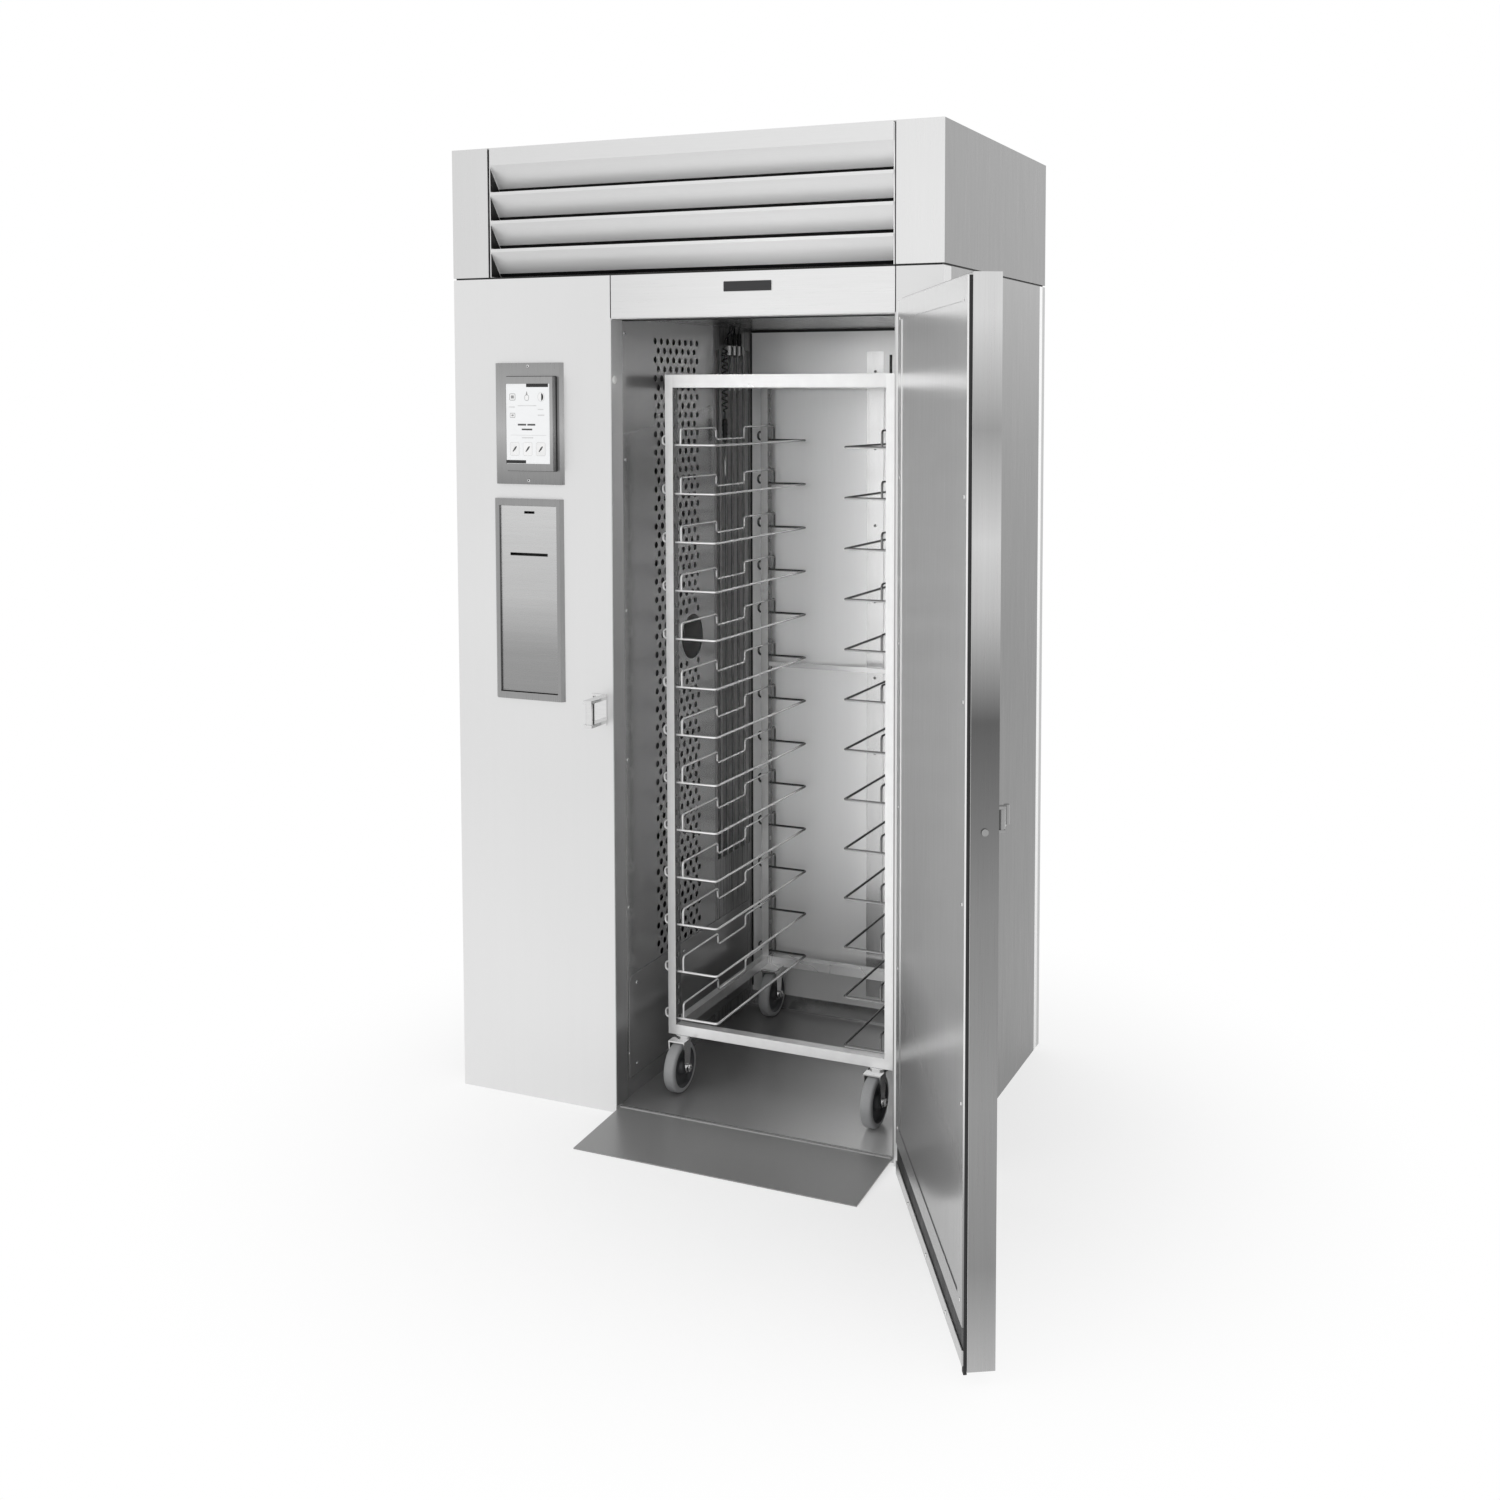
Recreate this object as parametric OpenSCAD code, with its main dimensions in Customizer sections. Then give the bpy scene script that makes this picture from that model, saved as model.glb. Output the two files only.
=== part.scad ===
// Roll-in blast chiller: an insulated cabinet with a service section on the left, a machine
// compartment on top, one full-height door, a folding entry ramp and a wire-slide rack on casters.
// Lengths are in millimetres. The front faces -Y. The origin is the centre of the cabinet's
// footprint, on the floor. The door is drawn open and the rack stands inside.

/* [Cabinet] */
// Overall width
body_w = 1216; // [1196:2:1300]
// Overall depth without the door
body_d = 786; // [780:2:860]
// Overall height
body_h = 2240; // [2220:2:2320]
// Height of the machine compartment with its seam
machine_h = 302; // [290:1:310]
// Height of the dark seam
seam_h = 4; // [3:0.5:6]
// Inset of the dark seam from the faces
seam_inset = 5; // [3:1:10]
// Width of the service section on the left
service_w = 422; // [410:2:430]
// Width of the jamb on the right
jamb_w = 106; // [100:2:116]
// Height of the header above the doorway
header_h = 96; // [90:1:100]
// Thickness of the insulated front
front_t = 50; // [46:1:56]
// Thickness of the insulated left side
wall_t = 50; // [40:1:60]
// Thickness of the insulated back
back_t = 48; // [40:1:50]
// Height of the cabinet floor
floor_z = 16; // [16:0.5:20]
// Sheet thickness of the machine compartment's covers
skin_t = 3; // [2:0.5:4]
// Thickness of the breaker trim round the doorway
trim_t = 2; // [1:0.5:3]

/* [Louvre grille] */
// Width of the left front post
post_w = 98; // [90:1:104]
// Depth of the posts' inner returns
post_depth = 55; // [52:1:65]
// Number of blades
blade_n = 4; // [3:1:5]
// Height of one blade
blade_pitch = 65.5; // [60:0.5:66]
// Upright lip at the top of a blade
blade_lip = 7; // [4:1:12]
// Upright band at the top of the top blade
top_band = 40; // [20:1:50]
// Depth that a blade falls back
blade_depth = 46; // [30:1:48]
// Sheet thickness of the blades
blade_t = 2; // [1.5:0.5:3]
// Space between a blade's end and the post
grille_gap = 6; // [4:1:10]

/* [Door] */
// Overlap of the door on the service section
door_lap_left = 10; // [6:1:16]
// Overlap of the door on the right jamb
door_lap = 12; // [10:1:14]
// Height of the door's lower edge
door_bottom = 25; // [24:0.5:30]
// Overlap of the door on the header
door_lap_top = 24; // [20:1:28]
// Depth of the door's outer shell
door_shell_t = 48; // [44:1:52]
// Sheet thickness of the door's shell
door_sheet = 2; // [1.5:0.5:3]
// Depth of the black gasket
gasket_t = 6; // [5:0.5:8]
// Depth of the raised rim of the door's liner
liner_t = 3; // [2.5:0.5:4]
// Space between the closed door and the cabinet
door_gap = 2; // [1.5:0.5:3]
// Width of the liner's rim
rim_w = 40; // [30:1:50]
// Height of the screwed strip at the door's foot
retainer_h = 28; // [24:1:34]
// Distance from the door's hinge edge to the hinge pins
hinge_reach = 38; // [34:1:44]
// Distance from the cabinet's front to the hinge pins
hinge_stand = 38; // [34:1:42]
// Angle at which the door stands open
open_angle = 119.5; // [90:0.5:119.5]
// Height of the latch
latch_z = 947; // [900:1:1000]
// Diameter of the latch bolt
bolt_d = 12; // [10:1:16]
// Travel of the latch bolt
bolt_throw = 15; // [12:1:15]
// Distance that the drawn bolt stands out of the door's edge
bolt_rest = 3; // [1:0.5:3]
// Diameter of the roller that the bolt holds behind
roller_d = 20; // [14:1:20]
// Distance from the cabinet's front to the roller's centre
roller_y = 56; // [54:1:62]
// Angle at which the pulled handle stands off the door
handle_angle = 25; // [10:1:35]

/* [Hinges] */
// Diameter of the door's hinge pins
pin_d = 8; // [6:0.5:10]
// Diameter of the hinge knuckles
knuckle_d = 18; // [16:1:20]
// Height of one hinge knuckle
knuckle_h = 40; // [30:1:50]
// Radial running clearance of pins and shafts
run_clear = 0.06; // [0.04:0.01:0.08]
// Space between pieces that move past each other
slip = 0.3; // [0.25:0.05:0.5]

/* [Ramp] */
// Length of the ramp
ramp_len = 208; // [180:2:240]
// Space between the ramp's sides and the doorway
ramp_side = 6; // [4:1:12]
// Sheet thickness of the ramp
ramp_t = 2.5; // [2:0.5:3]
// Diameter of the ramp's hinge knuckles
ramp_knuckle_d = 8; // [7:0.5:9]
// Diameter of the ramp's hinge pin
ramp_pin_d = 4; // [3:0.5:5]
// Number of hinge knuckles
ramp_knuckle_n = 17; // [9:2:21]

/* [Rack] */
// Space between the rack and the doorway's sides
rack_side = 58; // [54:1:62]
// Space between the rack and the interior back wall
rack_behind = 36; // [34:1:48]
// Distance from the cabinet's front to the rack
rack_setback = 150; // [146:1:154]
// Space between the rack and the ceiling
rack_over = 126; // [112:1:142]
// Height of the rack's underside
rack_foot = 145; // [145:0.5:148]
// Width of an upright
upright_w = 20; // [18:1:22]
// Depth of an upright and of the bars
upright_d = 25; // [22:1:28]
// Wall of the uprights
upright_wall = 1.5; // [1.5:0.5:2.5]
// Height of the top bars
top_bar_h = 30; // [24:1:36]
// Height of the bottom bars
foot_bar_h = 24; // [20:1:26]
// Height of the rear brace
brace_z = 952; // [930:1:975]
// Size of the rear brace
brace_t = 12; // [8:1:16]
// Length of the rod above the front right upright
rod_len = 41; // [20:1:60]

/* [Wire slides] */
// Height of the lowest level
level_z = 180; // [178:1:186]
// Distance between levels
level_pitch = 114.3; // [110:0.1:114.5]
// Slots in an upright for each level
slots_per_level = 3; // [1:1:3]
// Wire diameter of the slides
wire_d = 6; // [5:0.5:7]
// Wire diameter of the side guides
guide_d = 5; // [4:0.5:5.5]
// Distance from an upright to the inner leg
ledge_w = 104; // [80:1:120]
// Height of the side guide above the slide
guide_h = 38; // [30:1:44]
// Height of the guide's dropped middle above the slide
drop_h = 10; // [10:1:14]
// Distance from an upright to the side guide
guide_x = 14; // [12:1:24]
// Height of the hook outside the uprights
hook_h = 21; // [19:1:24]
// Reach of the hook outside the uprights
hook_x = 13; // [12:1:16]
// Bend radius of the slides
bend_r = 8; // [7:0.5:9]
// Width of the slots in the uprights
slot_w = 8; // [8:0.5:10]
// Height of the slots in the uprights
slot_h = 11; // [9:1:14]

/* [Casters] */
// Wheel diameter
wheel_d = 120; // [110:1:120]
// Wheel width
wheel_w = 32; // [28:1:34]
// Trail of the swivelling front casters
trail = 28; // [24:1:28]
// Distance from the rack's side to a caster
caster_inset = 38; // [37:1:50]
// Distance from the rack's back to the rear axles
rear_inset = 42; // [38:1:60]
// Diameter of the axle bolts
axle_d = 10; // [8:0.5:12]
// Diameter of the swivel stems
stem_d = 12; // [10:0.5:14]
// Sheet thickness of the forks
fork_t = 3; // [2.5:0.5:4]

/* [Evaporator cover] */
// Sheet thickness of the cover
cover_t = 2; // [1.5:0.5:3]
// Diameter of the holes
hole_d = 15; // [10:0.5:16]
// Distance between holes in a row
hole_pitch = 31; // [28:0.5:36]
// Distance between rows
row_pitch = 22.1; // [20:0.1:26]
// Bare edge behind the last hole of a row
hole_margin = 74; // [60:1:100]
// Distance from the cabinet's front to the first hole
hole_start = 206; // [190:1:220]
// Height of the lowest row
row_start = 250; // [240:1:300]
// Diameter of the round port among the holes
port_d = 112; // [80:1:120]
// Height of the round port
port_z = 1066; // [1040:1:1090]
// Depth of the return grille at the back
return_w = 226; // [200:1:240]

/* [Food probes] */
// Number of probes in the holder
probe_n = 3; // [1:1:3]
// Distance between the probes
probe_step = 28; // [26:1:34]
// Distance from the interior back to the first probe
probe_back = 158; // [140:1:170]
// Distance from the ceiling down to the holder's underside
probe_drop = 70; // [66:1:102]
// Diameter of the probes' grips
grip_d = 15; // [12:0.5:16]
// Diameter of the probes' needles
needle_d = 4; // [3:0.5:5]
// Curls of the hanging lead
curl_n = 11; // [4:1:12]
// Height of one curl
curl_pitch = 16; // [12:0.5:17]
// Radius of the curls
curl_r = 7; // [6:0.5:8]
// Diameter of the curly lead
lead_d = 3.5; // [3:0.5:4]

/* [Controls] */
// Distance from the cabinet's left side to the bezel
bezel_x = 114; // [100:1:126]
// Width of the bezel
bezel_w = 185; // [176:1:190]
// Height of the bezel
bezel_h = 281; // [270:1:290]
// Distance from the seam down to the bezel's lower edge
bezel_drop = 476; // [460:1:484]
// Width of the display housing
display_w = 134; // [128:1:140]
// Height of the display housing
display_h = 217; // [210:1:226]
// Distance that the display housing stands out
display_out = 25; // [16:1:30]
// Distance that the raised frames of the controls stand out
frame_out = 8; // [5:1:10]
// Width of the slanted edges of those frames
frame_bevel = 8; // [4:1:10]
// Sideways offset of the display in its bezel
display_shift = 10; // [-10:1:12]
// Border round the screen
screen_border = 8; // [6:1:12]
// Width of the printer frame
printer_w = 188; // [170:1:196]
// Height of the printer frame
printer_h = 471; // [440:1:480]
// Distance from the seam down to the printer frame's lower edge
printer_drop = 981; // [965:1:988]
// Border of the printer frame
printer_border = 16; // [12:1:20]
// Distance that the printer cover lies behind the frame's face
printer_recess = 5; // [3:1:8]
// Thickness of the printer cover
cover_sheet = 2.5; // [2:0.5:4]
// Height of the paper slot above the printer frame's lower edge
paper_rise = 341; // [320:1:360]
// Width of the paper slot
paper_w = 102; // [60:1:110]
// Depth of the pockets behind the controls
pocket_t = 42; // [38:1:44]

/* [Hidden] */
$fn = 48;
eps = 0.01;

left_x = -body_w / 2;
right_x = body_w / 2;
front_y = -body_d / 2;
back_y = body_d / 2;
open_l = left_x + service_w;
open_r = right_x - jamb_w;
open_cx = (open_l + open_r) / 2;
seam_z = body_h - machine_h;
open_top = seam_z - header_h;
inner_front = front_y + front_t;
inner_back = back_y - back_t;
chamber_l = left_x + wall_t;
machine_z = seam_z + seam_h;
panel_joint = 2;

// The ramp's hinge lies in a shallow recess in front of the floor, below the floor's top.
ramp_axis_y = front_y + 8;
ramp_axis_z = floor_z - ramp_knuckle_d / 2 - slip;
sill_y = ramp_axis_y + ramp_knuckle_d / 2 + 2;

// The door, closed: from the pins its liner faces the cabinet across the door gap.
door_r = open_r + door_lap;
door_l = open_l - door_lap_left;
door_top = open_top + door_lap_top;
liner_y = front_y - door_gap;
gasket_y = liner_y - liner_t;
shell_in_y = gasket_y - gasket_t;
shell_out_y = shell_in_y - door_shell_t;
hinge_x = door_r + hinge_reach;
hinge_y = front_y - hinge_stand;
hinge_levels = [door_bottom + 250, (door_bottom + door_top) / 2, door_top - 250];

rack_l = open_l + rack_side;
rack_r = open_r - rack_side;
rack_f = front_y + rack_setback;
rack_b = inner_back - rack_behind;
rack_top = open_top - rack_over;
post_span = rack_b - rack_f - upright_d;
level_n = floor((rack_top - top_bar_h - level_z - guide_h) / level_pitch) + 1;

wheel_z = floor_z + slip + wheel_d / 2;
fork_z = floor_z + slip + wheel_d + 2;
front_axis_y = rack_f + upright_d / 2;
rear_axle_y = rack_b - rear_inset;
gusset_t = 4;
corner_weld = 3;
stem_in = 6;

module slab(x0, x1, y0, y1, z0, z1) {
    translate([x0, y0, z0]) cube([x1 - x0, y1 - y0, z1 - z0]);
}

// A flat ring in the XZ plane, between an outer and an inner rectangle.
module ring_xz(x0, x1, z0, z1, y0, y1, border) {
    difference() {
        slab(x0, x1, y0, y1, z0, z1);
        slab(x0 + border, x1 - border, y0 - 1, y1 + 1, z0 + border, z1 - border);
    }
}

module along_x(p, len) {
    translate(p) rotate([0, 90, 0]) linear_extrude(len) children();
}

module rod_x(p, d, len) {
    translate(p) rotate([0, 90, 0]) cylinder(d = d, h = len);
}

module rod_y(p, d, len) {
    translate(p) rotate([-90, 0, 0]) cylinder(d = d, h = len);
}

module rod_z(p, d, len) {
    translate(p) cylinder(d = d, h = len);
}

// ---- Bent wire: straight rods joined by quarter-circle bends, every turn square ----

function unit(v) = v / norm(v);

// Stands its children's Z axis along direction v, which lies along X, Y or Z.
module aim(v) {
    if (v.x != 0) rotate([0, v.x > 0 ? 90 : -90, 0]) children();
    else if (v.y != 0) rotate([v.y > 0 ? -90 : 90, 0, 0]) children();
    else if (v.z > 0) children();
    else rotate([180, 0, 0]) children();
}

module elbow(corner, a, b, d, r) {
    c = cross(a, b);
    o = corner - r * a + r * b;
    multmatrix([[-b.x, a.x, c.x * -1, o.x], [-b.y, a.y, c.y * -1, o.y],
        [-b.z, a.z, c.z * -1, o.z], [0, 0, 0, 1]])
        mirror([0, 0, 1]) rotate_extrude(angle = 90) translate([r, 0]) circle(d = d, $fn = 24);
}

module wire(points, d, r) {
    last = len(points) - 1;
    for (i = [0 : last - 1]) {
        dir = unit(points[i + 1] - points[i]);
        start = points[i] + (i == 0 ? 0 : r) * dir;
        span = norm(points[i + 1] - points[i]) - (i == 0 ? 0 : r) - (i == last - 1 ? 0 : r);
        translate(start) aim(dir) cylinder(d = d, h = span, $fn = 24);
        if (i < last - 1) elbow(points[i + 1], dir, unit(points[i + 2] - points[i + 1]), d, r);
    }
}

// ---- Cabinet ----

module floor_pan() color("darkgray") {
    slab(open_l, open_r, sill_y, inner_front, 0, floor_z);
    slab(chamber_l, open_r, inner_front, inner_back, 0, floor_z);
}

module back_wall() color("silver") slab(left_x, right_x, inner_back, back_y, 0, seam_z);

module left_side_wall() color("silver")
    slab(left_x, chamber_l, inner_front, inner_back, 0, seam_z);

module right_side_wall() color("silver")
    slab(open_r, right_x, inner_front, inner_back, 0, seam_z);

bezel_z = seam_z - bezel_drop;
printer_z = seam_z - printer_drop;
paper_z = printer_z + paper_rise;
display_cx = left_x + bezel_x + bezel_w / 2 + display_shift;
display_cz = bezel_z + bezel_h / 2;
printer_cx = left_x + bezel_x + bezel_w / 2 - 4.5;

module service_panel() color("gainsboro") difference() {
    slab(left_x, open_l, front_y, inner_front, 0, seam_z);
    slab(display_cx - display_w / 2 + 4, display_cx + display_w / 2 - 4, front_y - 1,
        front_y + pocket_t, display_cz - display_h / 2 + 4, display_cz + display_h / 2 - 4);
    slab(printer_cx - printer_w / 2 + 4, printer_cx + printer_w / 2 - 4, front_y - 1,
        front_y + pocket_t, printer_z + 4, printer_z + printer_h - 4);
}

module right_jamb() color("silver") slab(open_r, right_x, front_y, inner_front, 0, seam_z);

module header_panel() color("silver")
    slab(open_l + panel_joint, open_r - panel_joint, front_y, inner_front, open_top, seam_z);

module ceiling_panel() color("silver")
    slab(chamber_l, open_r, inner_front, inner_back, open_top, seam_z);

module seam_deck() color("dimgray") slab(left_x + seam_inset, right_x - seam_inset,
    front_y + seam_inset, back_y - seam_inset, seam_z, machine_z);

// A front post of the machine compartment: a front face with a return at the grille.
module post(x0, x1, return_x) {
    slab(x0, x1, front_y, front_y + skin_t, machine_z, body_h);
    slab(return_x, return_x + skin_t, front_y, front_y + post_depth, machine_z,
        body_h - skin_t);
}

// Wrap-round sheet that ends in the two front posts, with rows of air slots in its back.
module machine_shell() color("silver") {
    vent_w = 220;
    vent_h = 10;
    difference() {
        slab(left_x, right_x, front_y, back_y, machine_z, body_h);
        slab(left_x + skin_t, right_x - skin_t, front_y - 1, back_y - skin_t, machine_z - 1,
            body_h + 1);
        for (row = [0 : 5], side = [-1, 1])
            slab(side * body_w / 4 - vent_w / 2, side * body_w / 4 + vent_w / 2,
                back_y - skin_t - 1, back_y + 1, machine_z + 60 + row * 32,
                machine_z + 60 + row * 32 + vent_h);
    }
    post(left_x, left_x + post_w, left_x + post_w - skin_t);
    post(right_x - jamb_w, right_x, right_x - jamb_w);
}

module top_cover() color("silver") difference() {
    slab(left_x + skin_t, right_x - skin_t, front_y + skin_t, back_y - skin_t,
        body_h - skin_t, body_h);
    slab(grille_l - blade_t - slip, grille_r + blade_t + slip, front_y,
        front_y + blade_flange + slip, body_h - skin_t - 1, body_h + 1);
}

// ---- Louvre grille: folded blades between two end plates ----

grille_l = left_x + post_w + grille_gap;
grille_r = right_x - jamb_w - grille_gap;
blade_flange = 12;

// Side view of a folded blade: a lip at the front, then a slope down and back, with a
// flange behind the lip. The children of along_x lie with their X axis down and Y axis back.
module blade_profile(z_top, z_bottom, lip) {
    polygon([[-z_top, 0], [-z_top + lip, 0], [-z_bottom, blade_depth - blade_t],
        [-z_bottom, blade_depth], [-z_bottom - blade_t, blade_depth],
        [-z_top + lip - blade_t / 2, blade_t], [-z_top + blade_t, blade_t],
        [-z_top + blade_t, blade_flange], [-z_top, blade_flange]]);
}

module louvre_grille() color("gainsboro") {
    lower_tops = [for (i = [1 : blade_n - 1]) machine_z + (blade_n - i) * blade_pitch];
    for (z_top = lower_tops)
        along_x([grille_l, front_y, 0], grille_r - grille_l)
            blade_profile(z_top - slip, z_top - blade_pitch + 4, blade_lip);
    along_x([grille_l, front_y, 0], grille_r - grille_l)
        blade_profile(body_h, lower_tops[0] + 4, top_band);
    for (x0 = [grille_l - blade_t, grille_r - eps])
        slab(x0, x0 + blade_t + eps, front_y + blade_t, front_y + blade_depth, machine_z,
            body_h - skin_t - slip);
}

// ---- Interior ----

return_y = inner_back - return_w;
row_n = floor((open_top - 20 - row_start) / row_pitch);
hole_n = floor((return_y - front_y - hole_start - hole_margin) / hole_pitch) + 1;

module cover_holes() {
    port_y = front_y + hole_start + (hole_n - 2) * hole_pitch;
    for (row = [0 : row_n - 1], i = [0 : hole_n - 1]) {
        odd = row % 2;
        y = front_y + hole_start + (i + odd / 2) * hole_pitch;
        z = row_start + row * row_pitch;
        if (i < hole_n - odd && norm([y - port_y, z - port_z]) > port_d / 2 + hole_d)
            translate([-z, y]) circle(d = hole_d, $fn = 24);
    }
    translate([-port_z, port_y]) circle(d = port_d);
}

module evaporator_cover() color("gray") along_x([open_l, 0, 0], cover_t) difference() {
    translate([-open_top, inner_front]) square([open_top - floor_z, return_y - inner_front]);
    cover_holes();
}

// Upright bars over the return air opening at the back of the left wall.
module return_grille() color("dimgray") {
    bar_n = 6;
    border = 16;
    step = (return_w - border) / bar_n;
    low = 460;
    high = open_top - 56;
    slab(open_l, open_l + cover_t, return_y, inner_back, floor_z, low);
    slab(open_l, open_l + cover_t, return_y, inner_back, high, open_top);
    for (i = [0 : bar_n])
        slab(open_l, open_l + cover_t, return_y + i * step,
            return_y + i * step + (i == 0 || i == bar_n ? border : 12), low - eps, high + eps);
}

module throat_trim() color("dimgray") {
    slab(open_l, open_l + trim_t, front_y, inner_front, floor_z, open_top);
    slab(open_r - trim_t, open_r, front_y, inner_front, floor_z, open_top);
    slab(open_l + trim_t, open_r - trim_t, front_y, inner_front, open_top - trim_t, open_top);
}

// Low guard plates on both side walls, with a cut front corner.
module kick_plate(x0) {
    plate_low = 60;
    plate_high = 304;
    cut = 14;
    along_x([x0, 0, 0], cover_t)
        polygon([[-plate_low, inner_front + 8], [-plate_high + cut, inner_front + 8],
            [-plate_high, inner_front + 8 + cut], [-plate_high, inner_back - 30],
            [-plate_low, inner_back - 30]]);
}

module kick_plates() color("darkgray") {
    kick_plate(open_l + cover_t);
    kick_plate(open_r - cover_t);
}

// Sloped cove along the back of the floor and an upright joint strip.
module back_trims() color("lightgray") {
    cove = 30;
    strip_x = open_cx - 8;
    along_x([open_l + cover_t, 0, 0], open_r - open_l - cover_t)
        polygon([[-floor_z, inner_back], [-floor_z, inner_back - cove],
            [-floor_z - 4, inner_back - cove], [-floor_z - cove, inner_back - 4],
            [-floor_z - cove, inner_back]]);
    slab(strip_x, strip_x + 46, inner_back - 3, inner_back, floor_z + 60, open_top - 60);
}

probe_y = inner_back - probe_back;
probe_z = open_top - probe_drop;
probe_bore = grip_d - 6;
holder_x = open_l + cover_t;
holder_t = 14;
holder_h = 24;
probe_x = holder_x + holder_t;

// Bracket on the left wall with rounded bosses that the food probes hang in.
module probe_holder() color("lightgray") difference() {
    union() {
        slab(holder_x, probe_x, probe_y - 16, probe_y + (probe_n - 1) * probe_step + 22,
            probe_z, probe_z + holder_h);
        for (i = [0 : probe_n - 1])
            rod_z([probe_x, probe_y + i * probe_step, probe_z], holder_h, holder_h);
    }
    for (i = [0 : probe_n - 1])
        rod_z([probe_x, probe_y + i * probe_step, probe_z - 1], probe_bore, holder_h + 2);
}

// Each probe hangs by its grip in the holder, with its own lead going up to the ceiling.
// One more probe hangs at the end of the curly lead.
module food_probes() color("black") {
    grip_h = 34;
    for (i = [0 : probe_n - 1])
        translate([probe_x, probe_y + i * probe_step, probe_z + holder_h]) {
            rod_z([0, 0, -120], needle_d, 121);
            rod_z([0, 0, slip], grip_d, grip_h);
            rod_z([0, 0, grip_h], 5, open_top - probe_z - holder_h - grip_h);
        }
    translate([lead_x, lead_y, lead_end]) {
        rod_z([0, 0, -60], grip_d - 1, 60);
        rod_z([0, 0, -150], needle_d, 91);
    }
}

// ---- Curly lead: one tube whose radius grows from nothing and dies away again ----

lead_x = open_l + 24;
lead_y = inner_back - 203;
lead_lean = 46;
lead_top = open_top - 44;
lead_low = lead_top - curl_n * curl_pitch;
lead_end = lead_low - 12;
lean_n = 8;
curl_steps = 10;

function ease(t) = t * t * (3 - 2 * t);

lead_path = concat(
    [for (i = [0 : lean_n]) [lead_x, lead_y + lead_lean * (1 - ease(i / lean_n)),
        open_top - (open_top - lead_top - 6) * i / lean_n]],
    [for (i = [0 : curl_n * curl_steps])
        let (t = i / curl_steps, r = curl_r * ease(min(1, t, curl_n - t)))
            [lead_x + r * cos(360 * t), lead_y + r * sin(360 * t), lead_top - t * curl_pitch]],
    [[lead_x, lead_y, lead_low - 6], [lead_x, lead_y, lead_end]]);
lead_turn = concat([for (i = [0 : lean_n]) 0],
    [for (i = [0 : curl_n * curl_steps]) 360 * i / curl_steps], [0, 0]);
lead_last = len(lead_path) - 1;

// Least distance between turns, less the tube's own diameter.
lead_gap = min([for (i = [lean_n + 1 : lead_last - curl_steps - 2], k = [5 : curl_steps + 2])
    norm(lead_path[i] - lead_path[min(i + k, lead_last)])]) - lead_d;
echo(least_gap_of_the_curly_lead = lead_gap);

function ring_at(i) =
    let (t = i == 0 || i == lead_last ? [0, 0, -1]
            : unit(lead_path[i + 1] - lead_path[i - 1]),
        out = [cos(lead_turn[i]), sin(lead_turn[i]), 0],
        n1 = unit(out - (out * t) * t), n2 = cross(t, n1))
    [for (k = [0 : 5]) lead_path[i] + lead_d / 2 * (cos(60 * k) * n1 + sin(60 * k) * n2)];

module probe_lead() color("black") polyhedron(
    points = [for (i = [0 : lead_last]) each ring_at(i)],
    faces = concat(
        [for (i = [0 : lead_last - 1], k = [0 : 5])
            [6 * i + k, 6 * i + (k + 1) % 6, 6 * (i + 1) + (k + 1) % 6]],
        [for (i = [0 : lead_last - 1], k = [0 : 5])
            [6 * i + k, 6 * (i + 1) + (k + 1) % 6, 6 * (i + 1) + k]],
        [for (k = [1 : 4]) [0, k + 1, k]],
        [for (k = [1 : 4]) [6 * lead_last, 6 * lead_last + k, 6 * lead_last + k + 1]]));

// ---- Controls ----

// Raised pan on the panel's face with slanted left and right edges.
module raised_pan(x0, x1, z0, z1) {
    translate([0, 0, z0]) linear_extrude(z1 - z0)
        polygon([[x0, front_y], [x0 + frame_bevel, front_y - frame_out],
            [x1 - frame_bevel, front_y - frame_out], [x1, front_y]]);
}

screen_l = display_cx - display_w / 2 + screen_border;
screen_r = display_cx + display_w / 2 - screen_border;
screen_low = display_cz - display_h / 2 + 2 * screen_border;
screen_top = display_cz + display_h / 2 - 2 * screen_border;
screen_y = front_y - display_out;

module display_bezel() color("lightgray") difference() {
    union() {
        raised_pan(left_x + bezel_x, left_x + bezel_x + bezel_w, bezel_z, bezel_z + bezel_h);
        slab(display_cx - display_w / 2, display_cx + display_w / 2, screen_y,
            front_y - frame_out + 1, display_cz - display_h / 2, display_cz + display_h / 2);
        slab(display_cx - display_w / 2 + 5, display_cx + display_w / 2 - 5, front_y - 1,
            front_y + pocket_t - 4, display_cz - display_h / 2 + 5,
            display_cz + display_h / 2 - 5);
    }
    slab(screen_l, screen_r, screen_y - 1, screen_y + 4, screen_low, screen_top);
}

module touchscreen() color("whitesmoke") slab(screen_l + slip, screen_r - slip,
    screen_y + 0.8, screen_y + 4, screen_low + slip, screen_top - slip);

cover_gap = 0.8;
cover_l = printer_cx - printer_w / 2 + printer_border + cover_gap;
cover_r = printer_cx + printer_w / 2 - printer_border - cover_gap;
cover_y = front_y - frame_out + printer_recess;
cover_low = printer_z + printer_border + cover_gap;
cover_top = printer_z + printer_h - printer_border - cover_gap;
cover_roll = 4;
cover_pin = 2.5;
pin_len = 8;
cover_axis = [cover_y + 1, cover_low + cover_roll / 2];

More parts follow.
